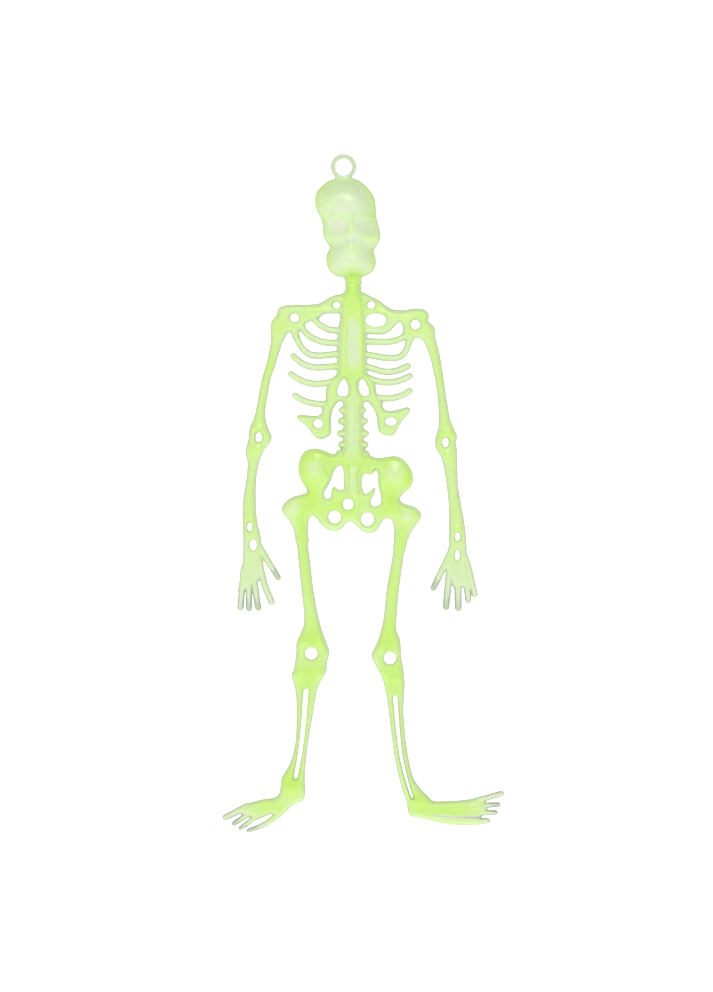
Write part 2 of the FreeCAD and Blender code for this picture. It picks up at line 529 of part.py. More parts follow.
def make_pelvis():
    """Pelvis with its two hollow-backed wings, down to the tops of the thighs."""
    lower_spine = new_body("lower_spine")
    left = [(-2.7, WAIST_WEB[1]), (-3.0, -126.0), (-1.7, -127.7), (-0.3, -128.9), (-1.6, -130.1),
            (-2.5, -131.6), (-1.9, -133.4), (-1.9, -134.4)]
    right = [(10.6, -134.4), (10.8, -133.4), (12.0, -131.2), (10.6, -130.0), (9.6, -128.8),
             (10.8, -127.4), (12.0, -126.0), (11.8, WAIST_WEB[1])]
    add_plate(lower_spine, [
        ("curve", left), ("sides", [left[-1], right[0]]),
        ("curve", right), ("sides", [right[-1], left[0]]),
    ], "spine_thickness")
    round_front(lower_spine, "spine_thickness", "fine_rounding",
                [("z", WAIST_WEB[1]), ("z", -134.4)])
    keep(lower_spine, "lower_spine")

    body = new_body("pelvis")
    left_cut, right_cut = LEFT_WEBS["hip"][0], RIGHT_WEBS["hip"][0]
    left_wing = [
        (-1.9, -134.4), (-3.5, -135.4), (-6.0, -135.5), (-9.0, -134.2), (-12.0, -133.3),
        (-15.0, -133.2), (-18.0, -134.2), (-20.0, -136.8), (-21.1, -140.5), (-21.2, -144.0),
        (-20.3, -147.5), (-18.5, -150.5), (-17.2, -152.6), (-17.6, -154.1), (-20.0, -154.9),
        (-24.0, -156.0), (-27.0, -158.0), (-28.8, -160.5), (-28.9, -162.8), (-27.5, -165.0),
        (-25.5, -167.5), (-24.0, -170.2), level(LEFT_LEG_OUTER, left_cut),
    ]
    arch = [
        level(LEFT_LEG_INNER, left_cut), (-16.8, -170.0), (-16.3, -166.2), (-14.5, -164.8),
        (-12.5, -166.3), (-10.5, -169.0), (-8.0, -171.0), (-5.0, -172.0), (-2.5, -171.8),
        (-0.5, -170.5), (1.0, -168.6), (2.8, -167.5), (4.5, -168.1), (6.5, -170.0),
        (9.0, -172.0), (12.0, -173.0), (14.5, -172.5), (16.5, -170.5), (18.0, -168.0),
        (19.5, -166.3), (21.5, -166.0), (23.2, -167.6), (23.9, -171.0),
        level(RIGHT_LEG_INNER, right_cut),
    ]
    right_wing = [
        level(RIGHT_LEG_OUTER, right_cut), (31.1, -174.0), (33.2, -170.6), (35.4, -167.7),
        (36.6, -165.3), (36.2, -163.2), (34.0, -161.0), (30.0, -159.7), (27.4, -158.4),
        (26.7, -156.6), (28.3, -154.2), (31.0, -152.0), (32.5, -149.5), (32.8, -146.0),
        (31.6, -142.5), (29.5, -139.5), (27.0, -137.5), (24.0, -136.7), (21.0, -137.0),
        (18.0, -137.5), (15.0, -137.4), (12.5, -136.3), (10.6, -134.4),
    ]
    add_plate(body, [
        ("curve", left_wing), ("sides", [left_wing[-1], arch[0]]), ("curve", arch),
        ("sides", [arch[-1], right_wing[0]]), ("curve", right_wing),
        ("sides", [right_wing[-1], left_wing[0]]),
    ], "pelvis_thickness")
    round_front(body, "pelvis_thickness", "edge_rounding",
                [("z", left_cut), ("z", right_cut), ("z", -134.4)])
    relief = f"{sheet.Name}.pelvis_relief"
    wall = f"{sheet.Name}.shell_wall"
    low = f"{sheet.Name}.trochanter_relief"
    ellipsoid(body, "left_dome", (-13.0, -143.0), 7.2, relief, 8.8)
    ellipsoid(body, "right_dome", (24.0, -145.0), 7.4, relief, 7.4)
    ellipsoid(body, "sacrum", (4.4, -147.0), 4.0, relief, 12.0)
    ellipsoid(body, "left_trochanter", (-23.4, -161.0), 4.8, low, 4.4)
    ellipsoid(body, "right_trochanter", (30.6, -164.6), 5.2, low, 4.2)
    flatten_back(body)
    ellipsoid(body, "left_core", (-13.0, -143.0), 5.8, f"{relief} - {wall}", 7.4, cut=True)
    ellipsoid(body, "right_core", (24.0, -145.0), 6.0, f"{relief} - {wall}", 6.0, cut=True)
    ellipsoid(body, "left_disc", (-23.4, -161.0), 3.4, f"{low} - {wall}", 3.2, cut=True)
    ellipsoid(body, "right_disc", (30.6, -164.6), 3.6, f"{low} - {wall}", 3.0, cut=True)
    cut_through(body, circles=[(-4.2, -165.5, 2.9), (11.3, -166.5, 3.1), (2.2, -159.4, 2.5)])
    left_opening = [
        ("curve", [(-1.5, -141.0), (-4.0, -143.0), (-5.5, -147.0), (-7.5, -151.0),
                   (-9.1, -153.6), (-8.9, -156.0), (-7.2, -156.9), (-5.9, -155.6),
                   (-5.4, -152.6), (-4.3, -151.2), (-2.8, -152.3), (-1.0, -152.8), (0.2, -151.8),
                   (0.1, -147.5), (-0.2, -143.0), (-1.5, -141.0)]),
    ]
    right_opening = [
        ("curve", [(15.5, -143.0), (13.5, -145.0), (11.5, -145.3), (9.4, -145.4), (8.8, -148.0),
                   (9.0, -152.0), (10.0, -154.5), (12.0, -153.7), (14.5, -151.4),
                   (15.0, -153.4), (13.2, -157.0), (13.0, -159.2), (14.5, -160.5),
                   (16.6, -160.0), (17.8, -158.0), (17.4, -154.0), (16.4, -150.0),
                   (16.4, -146.0), (15.5, -143.0)]),
    ]
    cut_through(body, left_opening, name="left_opening")
    cut_through(body, right_opening, name="right_opening")
    return keep(body, "pelvis")


def make_arm(side, outer, inner, webs, holes):
    """Webs and bones of one arm, down to the wrist."""
    shoulder, elbow, wrist = webs["shoulder"], webs["elbow"], webs["wrist"]
    sections = [
        ("shoulder_web", shoulder, "limb_thickness", None),
        ("upper_arm", (shoulder[1], elbow[0]), "limb_thickness", None),
        ("elbow_web", elbow, "limb_thickness", holes["elbow"]),
        ("forearm", (elbow[1], wrist[0]), "limb_thickness", None),
        ("wrist_web", wrist, "wrist_thickness", holes["wrist"]),
    ]
    for name, (top, bottom), thickness, hole in sections:
        limb_section(f"{side}_{name}", outer, inner, top, bottom, thickness, holes=hole)


def make_hand(side, palm, fingers, hole, top):
    """Palm with its five fingers, one of them the thumb."""
    body = new_body(f"{side}_hand")
    add_plate(body, [("sides", palm)], "hand_thickness")
    for number, (points, half) in enumerate(fingers, start=1):
        add_plate(body, stroke(points, half), "hand_thickness", f"finger_{number}")
    round_front(body, "hand_thickness", "finger_rounding", [("z", top)])
    cut_through(body, ellipses=[hole])
    return keep(body, f"{side}_hand")


def make_leg(side, outer, inner, webs, knee_hole, slot):
    """Webs and bones of one leg, down to the ankle, with the slot between the shin bones."""
    hip, knee, ankle = webs["hip"], webs["knee"], webs["ankle"]
    limb_section(f"{side}_hip_web", outer, inner, *hip, "limb_thickness")
    limb_section(f"{side}_thigh", outer, inner, hip[1], knee[0], "limb_thickness")
    limb_section(f"{side}_knee_web", outer, inner, *knee, "limb_thickness",
                 holes={"circles": [knee_hole]})
    for name, (top, bottom) in (("shin", (knee[1], ankle[0])), ("ankle_web", ankle)):
        body = new_body(f"{side}_{name}")
        one = between(outer, top, bottom)
        other = between(inner, top, bottom)[::-1]
        add_plate(body, [
            ("curve", one), ("sides", [one[-1], other[0]]),
            ("curve", other), ("sides", [other[-1], one[0]]),
        ], "foot_thickness")
        cut_through(body, slot, name="slot")
        round_front(body, "foot_thickness", "edge_rounding", [("z", top), ("z", bottom)])
        keep(body, body.Label)


def make_foot(side, outline, toes, top):
    """Foot with its toes."""
    body = new_body(f"{side}_foot")
    add_plate(body, outline, "foot_thickness")
    round_front(body, "foot_thickness", "edge_rounding", [("z", top)])
    for number, (points, half) in enumerate(toes, start=1):
        add_plate(body, stroke(points, half), "toe_thickness", f"toe_{number}")
    return body


skull = make_skull()
make_ring(skull)
neck_runs = [("sides", [(0.6, NECK_WEB[0]), (0.6, NECK_WEB[1]), (8.4, NECK_WEB[1]),
                        (8.4, NECK_WEB[0]), (0.6, NECK_WEB[0])])]
neck_web = new_body("neck_web")
add_plate(neck_web, neck_runs, "spine_thickness")
round_front(neck_web, "spine_thickness", "edge_rounding",
            [("z", NECK_WEB[0]), ("z", NECK_WEB[1])])
keep(neck_web, "neck_web")
make_breastplate()
make_upper_spine()
make_shoulders()
make_costal_arches()
chest = {node.Label: node for node in nodes}
for side, ribs in (("left", LEFT_RIBS), ("right", RIGHT_RIBS)):
    bones = [chest[name] for name in
             ("breastplate", "upper_spine", f"{side}_shoulder", f"{side}_costal_arch")]
    make_ribs(side, ribs, bones)

waist_left = [(-2.7, WAIST_WEB[0]), (-0.5, -122.8), (-2.7, WAIST_WEB[1])]
waist_right = [(11.8, WAIST_WEB[1]), (9.6, -122.8), (11.6, WAIST_WEB[0])]
waist_web = new_body("waist_web")
add_plate(waist_web, [
    ("curve", waist_left), ("sides", [waist_left[-1], waist_right[0]]),
    ("curve", waist_right), ("sides", [waist_right[-1], waist_left[0]]),
], "spine_thickness")
round_front(waist_web, "spine_thickness", "edge_rounding",
            [("z", WAIST_WEB[0]), ("z", WAIST_WEB[1])])
keep(waist_web, "waist_web")
make_pelvis()

make_arm("left", LEFT_ARM_OUTER, LEFT_ARM_INNER, LEFT_WEBS, {
    "elbow": {"ellipses": [(-40.0, -127.8, 1.6, 2.3)]},
    "wrist": {"ellipses": [(-44.3, -170.0, 1.2, 2.1)]},
})
make_arm("right", RIGHT_ARM_OUTER, RIGHT_ARM_INNER, RIGHT_WEBS, {
    "elbow": {"ellipses": [(48.2, -130.2, 1.5, 2.2)]},
    "wrist": {"ellipses": [(53.9, -174.8, 1.3, 2.0)]},
})
left_wrist, right_wrist = LEFT_WEBS["wrist"][1], RIGHT_WEBS["wrist"][1]
left_palm = [
    level(LEFT_ARM_OUTER, left_wrist), (-47.2, -178.0), (-47.4, -185.0), (-48.3, -192.0),
    (-49.8, -201.0), (-46.5, -200.5), (-43.0, -197.5), (-39.8, -196.0), (-37.7, -188.0),
    (-38.6, -180.0), level(LEFT_ARM_INNER, left_wrist), level(LEFT_ARM_OUTER, left_wrist),
]
make_hand("left", left_palm, [
    ([(-47.2, -192.0), (-48.7, -208.2)], (1.35, 1.35)),
    ([(-44.8, -192.0), (-44.7, -208.6)], (1.4, 1.25)),
    ([(-42.6, -190.0), (-41.7, -199.0), (-40.3, -208.3)], (1.5, 1.3)),
    ([(-40.0, -188.0), (-37.4, -197.0), (-34.0, -205.5)], (1.6, 1.35)),
    ([(-39.6, -180.0), (-30.9, -194.0)], (1.4, 1.2)),
], (-42.7, -178.7, 1.7, 2.6), left_wrist)
right_palm = [
    level(RIGHT_ARM_OUTER, right_wrist), (58.2, -184.0), (58.8, -188.0), (61.4, -197.0),
    (60.3, -201.0), (56.2, -199.0), (52.0, -199.3), (48.5, -191.5), (49.8, -187.5),
    (50.2, -181.5), level(RIGHT_ARM_INNER, right_wrist), level(RIGHT_ARM_OUTER, right_wrist),
]
make_hand("right", right_palm, [
    ([(51.4, -181.0), (42.5, -198.9)], (1.6, 1.3)),
    ([(50.4, -190.0), (48.4, -207.9)], (1.6, 1.4)),
    ([(54.0, -192.0), (54.2, -208.2)], (1.6, 1.5)),
    ([(57.4, -192.0), (58.9, -204.6)], (1.5, 1.3)),
    ([(59.6, -190.0), (62.0, -201.9)], (1.3, 1.3)),
], (53.8, -183.6, 1.25, 2.5), right_wrist)

left_slot = stroke([(-17.7, -247.9), (-18.1, -252.0), (-18.5, -258.0), (-19.2, -266.0),
                    (-20.1, -273.7), (-21.0, -280.0), (-22.6, -288.3)], (1.3, 1.0), True)
right_slot = stroke([(24.5, -251.0), (24.9, -256.4), (25.5, -264.0), (26.3, -271.5),
                     (27.4, -279.5), (29.6, -288.8), (32.5, -297.9)], (1.05, 0.7), True)
make_leg("left", LEFT_LEG_OUTER, LEFT_LEG_INNER, LEFT_WEBS, (-15.2, -229.9, 2.9), left_slot)
make_leg("right", RIGHT_LEG_OUTER, RIGHT_LEG_INNER, RIGHT_WEBS, (22.0, -232.1, 3.0), right_slot)

top = LEFT_WEBS["ankle"][1]
left_foot = [
    ("curve", [(-29.6, top), (-29.8, -295.1), (-31.2, -297.3), (-33.6, -298.4), (-38.0, -298.9),
               (-42.0, -300.0), (-46.8, -301.3), (-50.5, -303.0)]),
    ("sides", [(-50.5, -303.0), (-48.4, -305.7), (-43.9, -306.9), (-41.4, -308.7)]),
    ("curve", [(-41.4, -308.7), (-37.5, -306.9), (-34.0, -305.5), (-33.1, -306.1),
               (-33.9, -307.5)]),
    ("sides", [(-33.9, -307.5), (-32.6, -309.1)]),
    ("curve", [(-32.6, -309.1), (-29.9, -307.0), (-27.3, -304.7), (-24.5, -302.0),
               (-21.5, -300.3), (-19.3, -299.3), (-18.3, -297.0), (-18.1, -294.2),
               (-18.4, top)]),
    ("sides", [(-18.4, top), (-29.6, top)]),
]
keep(make_foot("left", left_foot, [
    ([(-47.8, -303.3), (-55.9, -307.4)], (1.5, 1.25)),
    ([(-46.0, -306.2), (-51.8, -310.3)], (1.2, 0.95)),
    ([(-42.4, -307.6), (-45.5, -310.2), (-48.8, -312.5)], (1.2, 0.75)),
    ([(-32.4, -307.2), (-35.3, -309.5), (-40.0, -311.9), (-45.0, -313.6)], (1.4, 0.75)),
], top), "left_foot")

top = RIGHT_WEBS["ankle"][1]
right_foot_body = make_foot("right", [
    ("curve", [(42.2, top), (47.6, -299.9), (54.8, -299.5), (62.1, -298.5), (68.6, -297.2)]),
    ("sides", [(68.6, -297.2), (67.0, -299.8), (67.9, -303.4), (64.8, -307.2), (66.4, -310.4)]),
    ("curve", [(66.4, -310.4), (60.3, -311.0), (53.0, -310.8), (46.5, -309.9),
               (40.3, -308.5), (34.9, -307.2), (31.6, -306.3), (30.4, -303.5), (30.0, top)]),
    ("sides", [(30.0, top), (42.2, top)]),
], [
    ([(66.0, -298.4), (74.6, -296.1)], (1.2, 1.1)),
    ([(66.5, -301.6), (73.0, -301.3)], (1.1, 0.9)),
    ([(66.3, -305.2), (71.8, -305.1)], (1.2, 0.95)),
    ([(64.5, -309.2), (68.0, -309.0)], (1.35, 1.15)),
], top)
groove = stroke([(43.5, -306.4), (54.0, -307.1), (66.0, -307.3)], (0.5, 0.5), True)
recess_back(right_foot_body, "toe_thickness", groove, name="groove")
keep(right_foot_body, "right_foot")

doc.recompute()
for item in doc.Objects:
    if {"Invalid", "Error"} & set(item.State):
        raise ValueError(f"{item.Label}: {item.State}")
for node in nodes:
    shape = node.Shape
    if shape.isNull() or not shape.isValid() or len(shape.Solids) != 1:
        raise ValueError(f"{node.Label}: not one valid solid, {len(shape.Solids)} found")
    shape.exportStep(f"parts/{node.Label}.step")
print(len(nodes), "nodes")
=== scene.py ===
import math

import bpy
import numpy as np
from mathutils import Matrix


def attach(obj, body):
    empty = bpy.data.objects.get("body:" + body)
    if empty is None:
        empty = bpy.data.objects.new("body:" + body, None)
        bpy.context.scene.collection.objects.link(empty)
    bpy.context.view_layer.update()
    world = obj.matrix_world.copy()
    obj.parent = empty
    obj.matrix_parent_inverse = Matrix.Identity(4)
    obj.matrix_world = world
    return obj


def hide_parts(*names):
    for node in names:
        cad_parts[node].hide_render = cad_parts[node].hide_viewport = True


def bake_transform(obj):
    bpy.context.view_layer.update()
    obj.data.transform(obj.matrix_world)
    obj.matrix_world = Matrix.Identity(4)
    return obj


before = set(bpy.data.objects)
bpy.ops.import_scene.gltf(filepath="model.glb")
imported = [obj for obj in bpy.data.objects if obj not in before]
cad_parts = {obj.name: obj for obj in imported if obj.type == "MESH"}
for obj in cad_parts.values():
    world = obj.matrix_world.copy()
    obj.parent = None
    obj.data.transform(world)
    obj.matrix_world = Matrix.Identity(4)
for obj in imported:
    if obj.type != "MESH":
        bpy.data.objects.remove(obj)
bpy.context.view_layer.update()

# The figure is one soft moulding with a flat back. Its shape is held as fields over the X-Z
# plane, in millimetres: the distance to the outline and to the holes, the height of the front
# and the depth of the hollows in the back. The bodies' pieces are cut from that one surface.

STEP = 0.25  # between the samples
X_GRID = np.arange(-61.03, 80.0, STEP)
Z_GRID = np.arange(-318.05, 9.0, STEP)
FAR = 9.0  # held where no outline is near
EDGE = 0.9  # height of the front at the outline
MARGIN = 0.22  # the outlines below lie this far inside the edge of the plastic

RING_RADIUS, RING_BORE, RING_THICK = 5.8, 4.0, 2.4
SKULL_THICK, SKULL_WALL = 9.4, 1.5
SPINE_THICK = 5.0
PELVIS_THICK = 3.8
LIMB_THICK = 3.2
FOOT_THICK, HAND_THICK = 2.6, 2.2
RIB_THICK, DIGIT_THICK = 2.3, 2.1
THINNEST = 1.1  # wall left in front of a hollow
LIP_RISE, LIP_WIDTH = 3.2, 1.5  # rounding of the front beside a hole

distance = np.full((len(X_GRID), len(Z_GRID)), FAR)
front = np.zeros_like(distance)
hollow = np.zeros_like(distance)
holes = np.full_like(distance, FAR)


def curve(points, closed=False, step=0.5):
    """Smooth line through points, resampled closely."""
    pts = np.array(points, float)
    n = len(pts)
    out = []
    for i in range(n if closed else n - 1):
        if closed:
            p = [pts[(i + k) % n] for k in (-1, 0, 1, 2)]
        else:
            p = [pts[min(max(i + k, 0), n - 1)] for k in (-1, 0, 1, 2)]
        count = max(1, int(np.linalg.norm(p[2] - p[1]) / step))
        for t in np.arange(count) / count:
            out.append(0.5 * (2 * p[1] + (p[2] - p[0]) * t
                              + (2 * p[0] - 5 * p[1] + 4 * p[2] - p[3]) * t ** 2
                              + (3 * p[1] - p[0] - 3 * p[2] + p[3]) * t ** 3))
    if not closed:
        out.append(pts[-1])
    return np.array(out)


def window(points, margin):
    """Part of the grid around points."""
    low, high = points.min(0) - margin, points.max(0) + margin
    xs = slice(*np.searchsorted(X_GRID, (low[0], high[0])))
    zs = slice(*np.searchsorted(Z_GRID, (low[1], high[1])))
    x, z = np.meshgrid(X_GRID[xs], Z_GRID[zs], indexing="ij")
    return (xs, zs), x, z


def polygon(points, margin=4.0):
    """Signed distance to a closed outline, negative inside, over the window around it."""
    area, x, z = window(points, margin)
    best = np.full(x.shape, 1e9)
    inside = np.zeros(x.shape, bool)
    for (ax, az), (bx, bz) in zip(points, np.roll(points, -1, 0)):
        dx, dz = bx - ax, bz - az
        t = np.clip(((x - ax) * dx + (z - az) * dz) / (dx * dx + dz * dz + 1e-12), 0, 1)
        best = np.minimum(best, (x - ax - t * dx) ** 2 + (z - az - t * dz) ** 2)
        if az != bz:
            inside ^= ((az > z) != (bz > z)) & (x < ax + (z - az) * dx / dz)
    return area, np.where(inside, -1, 1) * np.sqrt(best)


def bar(points, start, end, margin=4.0):
    """Signed distance to a round-ended bar along a smooth line, with its half-width at each end."""
    line = curve(points, step=0.8)
    area, x, z = window(line, margin + max(start, end))
    best = np.full(x.shape, FAR)
    count = len(line) - 1
    for i in range(count):
        (ax, az), (bx, bz) = line[i], line[i + 1]
        dx, dz = bx - ax, bz - az
        t = np.clip(((x - ax) * dx + (z - az) * dz) / (dx * dx + dz * dz + 1e-12), 0, 1)
        half = start + (end - start) * (i + t) / count
        best = np.minimum(best, np.hypot(x - ax - t * dx, z - az - t * dz) - half)
    return area, best


def ellipse(x0, z0, wide, high):
    """Signed distance, nearly, to an ellipse."""
    area, x, z = window(np.array([(x0 - wide, z0 - high), (x0 + wide, z0 + high)]), 4.0)
    around = np.hypot((x - x0) / wide, (z - z0) / high)
    slope = np.hypot((x - x0) / wide ** 2, (z - z0) / high ** 2) + 1e-6
    return area, np.where(around < 0.3, -0.7 * min(wide, high),
                          (around - 1) * np.maximum(around, 0.3) / slope)


def lower(a, b, k):
    """Smooth minimum."""
    h = np.clip(0.5 + 0.5 * (b - a) / k, 0, 1)
    return b + (a - b) * h - k * h * (1 - h)


def swell(depth, radius):
    """Rounded shoulder: 0 at the outline, 1 from radius inwards."""
    return np.sin(np.clip(depth / radius, 0, 1) * math.pi / 2)


def add(shape, thick, radius, join=0.7, crest=0.5):
    """Add a bone: its outline joins the others smoothly, and its front is rounded."""
    area, d = shape
    d = d - MARGIN
    thick = np.broadcast_to(thick, Z_GRID.shape)[None, area[1]]
    distance[area] = lower(distance[area], d, join)
    height = EDGE + (thick - EDGE) * swell(-d, radius)
    height = np.where(d < 0.4, height, 0)
    front[area] = -lower(-front[area], -height, crest)


def taper(above, below, top, bottom):
    """Thickness that changes from one value to another between two levels."""
    return np.interp(Z_GRID, (bottom, top), (below, above))


def cut(shape):
    """Hole right through."""
    area, d = shape
    holes[area] = np.minimum(holes[area], d + MARGIN)


def relief(field, x0, z0, wide, high, amount, turn=0.0, power=2.0):
    """Smooth bump, or dip if the amount is negative, in a field."""
    reach = 3 * max(wide, high)
    area, x, z = window(np.array([(x0 - reach, z0 - reach), (x0 + reach, z0 + reach)]), 0)
    c, s = math.cos(math.radians(turn)), math.sin(math.radians(turn))
    u, v = (x - x0) * c + (z - z0) * s, -(x - x0) * s + (z - z0) * c
    field[area] += amount * np.exp(-np.abs(u / wide) ** power - np.abs(v / high) ** power)


def smooth(field, area, width):
    """Blur a window of a field, by about width."""
    part = field[area]
    reach = max(1, round(width / STEP))
    for axis in (0, 1):
        for _ in range(3):
            padded = np.pad(part, [(reach, reach) if a == axis else (0, 0) for a in (0, 1)], "edge")
            total = np.cumsum(padded, axis)
            ends = np.take(total, range(2 * reach, padded.shape[axis]), axis)
            starts = np.insert(np.take(total, range(0, padded.shape[axis] - 2 * reach - 1), axis),
                               0, 0, axis)
            part = (ends - starts) / (2 * reach + 1)
    field[area] = part


def outline(*sides):
    """Closed outline from smooth sides that meet at corners."""
    return np.concatenate([curve(side)[:-1] if len(side) > 2 else np.array(side[:1], float)
                           for side in sides])


# --- outlines, in mm ---------------------------------------------------------------------
SKULL = [
    (0.0, -5.0), (-5.0, -6.0), (-8.0, -7.3), (-10.5, -9.5), (-12.3, -11.5), (-13.2, -14.0),
    (-13.3, -17.0), (-12.8, -19.5), (-11.5, -22.5), (-10.3, -25.0), (-9.8, -28.0),
    (-9.8, -31.0), (-8.8, -34.0), (-7.2, -36.6), (-6.3, -38.2), (-7.2, -40.0), (-7.9, -42.0),
    (-8.0, -44.5), (-7.3, -47.5), (-5.5, -50.0), (-3.0, -51.5), (0.6, -52.3), (4.0, -52.6),
    (8.4, -52.1), (11.0, -51.0), (13.5, -49.5), (14.9, -47.0), (15.2, -44.0), (14.4, -41.0),
    (14.2, -39.3), (15.2, -37.8), (16.6, -35.5), (17.3, -33.0), (17.0, -30.0), (16.2, -27.0),
    (15.5, -24.0), (15.2, -21.0), (15.0, -17.5), (14.2, -14.0), (12.5, -11.3), (10.5, -9.0),
    (8.0, -7.0), (5.0, -5.6),
]
COLUMN = [
    (1.2, -50.5), (0.9, -52.6), (0.5, -53.6), (1.1, -54.6), (0.7, -56.0), (1.2, -57.0),
    (0.6, -58.4), (-0.4, -60.0), (-1.4, -62.0), (-1.7, -67.0), (-1.7, -72.0), (-2.5, -77.0),
    (-2.9, -82.0), (-3.0, -90.0), (-3.1, -96.5), (-3.4, -99.0), (-3.0, -102.0), (-1.6, -108.0),
    (-0.4, -111.0), (-0.1, -114.0), (0.0, -120.0), (-0.1, -126.0), (-0.3, -132.0),
    (-1.6, -135.0), (-3.0, -138.0),
    (0.5, -142.0), (0.4, -150.0), (0.0, -156.0), (4.0, -158.0), (8.8, -156.0), (8.7, -150.0),
    (8.8, -144.0), (12.0, -138.0), (10.2, -134.6), (9.6, -131.0), (9.5, -126.0),
    (9.3, -120.0), (9.3, -114.0), (9.6, -111.4), (10.4, -108.0), (11.2, -102.0), (11.2, -99.0),
    (11.0, -92.0), (11.0, -82.0), (10.8, -72.0), (10.3, -64.0), (9.0, -60.0), (8.0, -58.4),
    (8.5, -57.0), (8.0, -56.0), (8.7, -54.6), (8.2, -53.4), (8.0, -50.5),
]
KNOBS = [(-115.0, -2.2, 10.7), (-120.1, -2.6, 11.5), (-126.0, -3.0, 12.0), (-131.3, -2.6, 11.8)]
LEFT_GIRDLE = [
    [(4.0, -59.6), (-2.0, -60.4), (-4.5, -60.9), (-7.0, -62.0), (-9.0, -63.3), (-11.5, -64.6),
     (-14.0, -65.0), (-19.0, -65.2), (-24.0, -65.2), (-27.5, -65.6), (-30.0, -66.4),
     (-31.1, -67.8), (-31.3, -69.6), (-32.2, -70.9), (-33.5, -72.3), (-34.2, -74.5),
     (-34.4, -78.0), (-34.2, -82.0), (-34.7, -86.0), (-35.5, -90.0)],
    [(-35.5, -90.0), (-31.2, -90.0)],
    [(-31.2, -90.0), (-29.5, -84.5), (-28.0, -81.3), (-26.9, -79.2), (-25.7, -77.9),
     (-24.8, -78.6), (-23.9, -80.6), (-22.9, -82.6), (-20.9, -81.6), (-21.2, -78.8),
     (-20.4, -76.9), (-19.0, -75.6), (-17.7, -74.0), (-15.8, -72.8), (-13.2, -71.6),
     (-11.2, -71.2), (-10.3, -70.2), (-8.6, -69.4), (-5.0, -69.2), (4.0, -69.2)],
    [(4.0, -69.2), (4.0, -59.6)],
]
RIGHT_GIRDLE = [
    [(5.0, -59.0), (9.0, -59.3), (12.0, -60.8), (15.0, -62.2), (18.0, -64.0), (20.0, -65.6),
     (23.0, -67.3), (26.0, -67.8), (29.0, -67.8), (32.0, -67.2), (35.0, -67.0), (38.0, -67.5),
     (39.8, -69.0), (40.3, -70.5), (40.0, -72.6), (41.2, -74.0), (42.5, -75.4), (43.1, -77.2),
     (43.2, -80.0), (44.0, -83.5), (45.0, -87.5), (45.9, -92.0)],
    [(45.9, -92.0), (41.5, -92.0)],
    [(41.5, -92.0), (40.9, -89.5), (39.5, -85.5), (38.0, -82.6), (36.4, -81.2), (34.4, -80.9),
     (32.9, -81.8), (32.3, -83.4), (30.0, -84.4), (29.5, -82.0), (28.4, -80.4), (27.9, -78.5),
     (28.2, -76.2), (27.6, -74.2), (26.2, -73.3), (24.6, -73.5), (22.6, -74.8), (20.6, -76.4),
     (17.0, -77.0), (5.0, -77.0)],
    [(5.0, -77.0), (5.0, -59.0)],
]
LEFT_ARCH = [
    [(2.0, -98.0), (-2.8, -98.2), (-5.6, -100.2), (-7.3, -103.0), (-8.2, -106.0),
     (-8.4, -110.2), (-9.6, -112.6), (-10.1, -114.3), (-10.2, -116.2), (-11.6, -117.4),
     (-13.5, -117.7), (-17.0, -117.5), (-20.6, -117.3), (-22.0, -118.3), (-21.2, -119.8),
     (-18.6, -121.5), (-16.2, -124.1), (-14.0, -126.8), (-12.5, -128.2), (-10.5, -128.7),
     (-8.0, -127.8), (-6.2, -126.3), (-5.8, -123.5), (-6.0, -120.0), (-5.5, -116.0),
     (-4.4, -113.2), (-3.0, -111.4), (-1.6, -110.7), (2.0, -110.7)],
    [(2.0, -110.7), (2.0, -98.0)],
]
RIGHT_ARCH = [
    [(8.0, -97.0), (11.0, -97.8), (13.6, -100.4), (15.0, -103.2), (15.3, -106.0),
     (16.4, -108.4), (18.2, -110.8), (18.6, -113.4), (20.0, -115.0), (23.0, -115.3),
     (27.0, -114.4), (30.1, -113.6), (31.5, -114.6), (30.9, -116.2), (28.0, -119.6),
     (26.0, -122.8), (24.2, -126.0), (22.5, -127.1), (20.0, -126.8), (18.0, -126.0),
     (16.6, -124.4), (16.1, -121.0), (15.6, -117.5), (14.3, -114.3), (12.4, -111.8),
     (10.9, -111.0), (9.4, -111.2), (8.0, -111.4)],
    [(8.0, -111.4), (8.0, -97.0)],
]
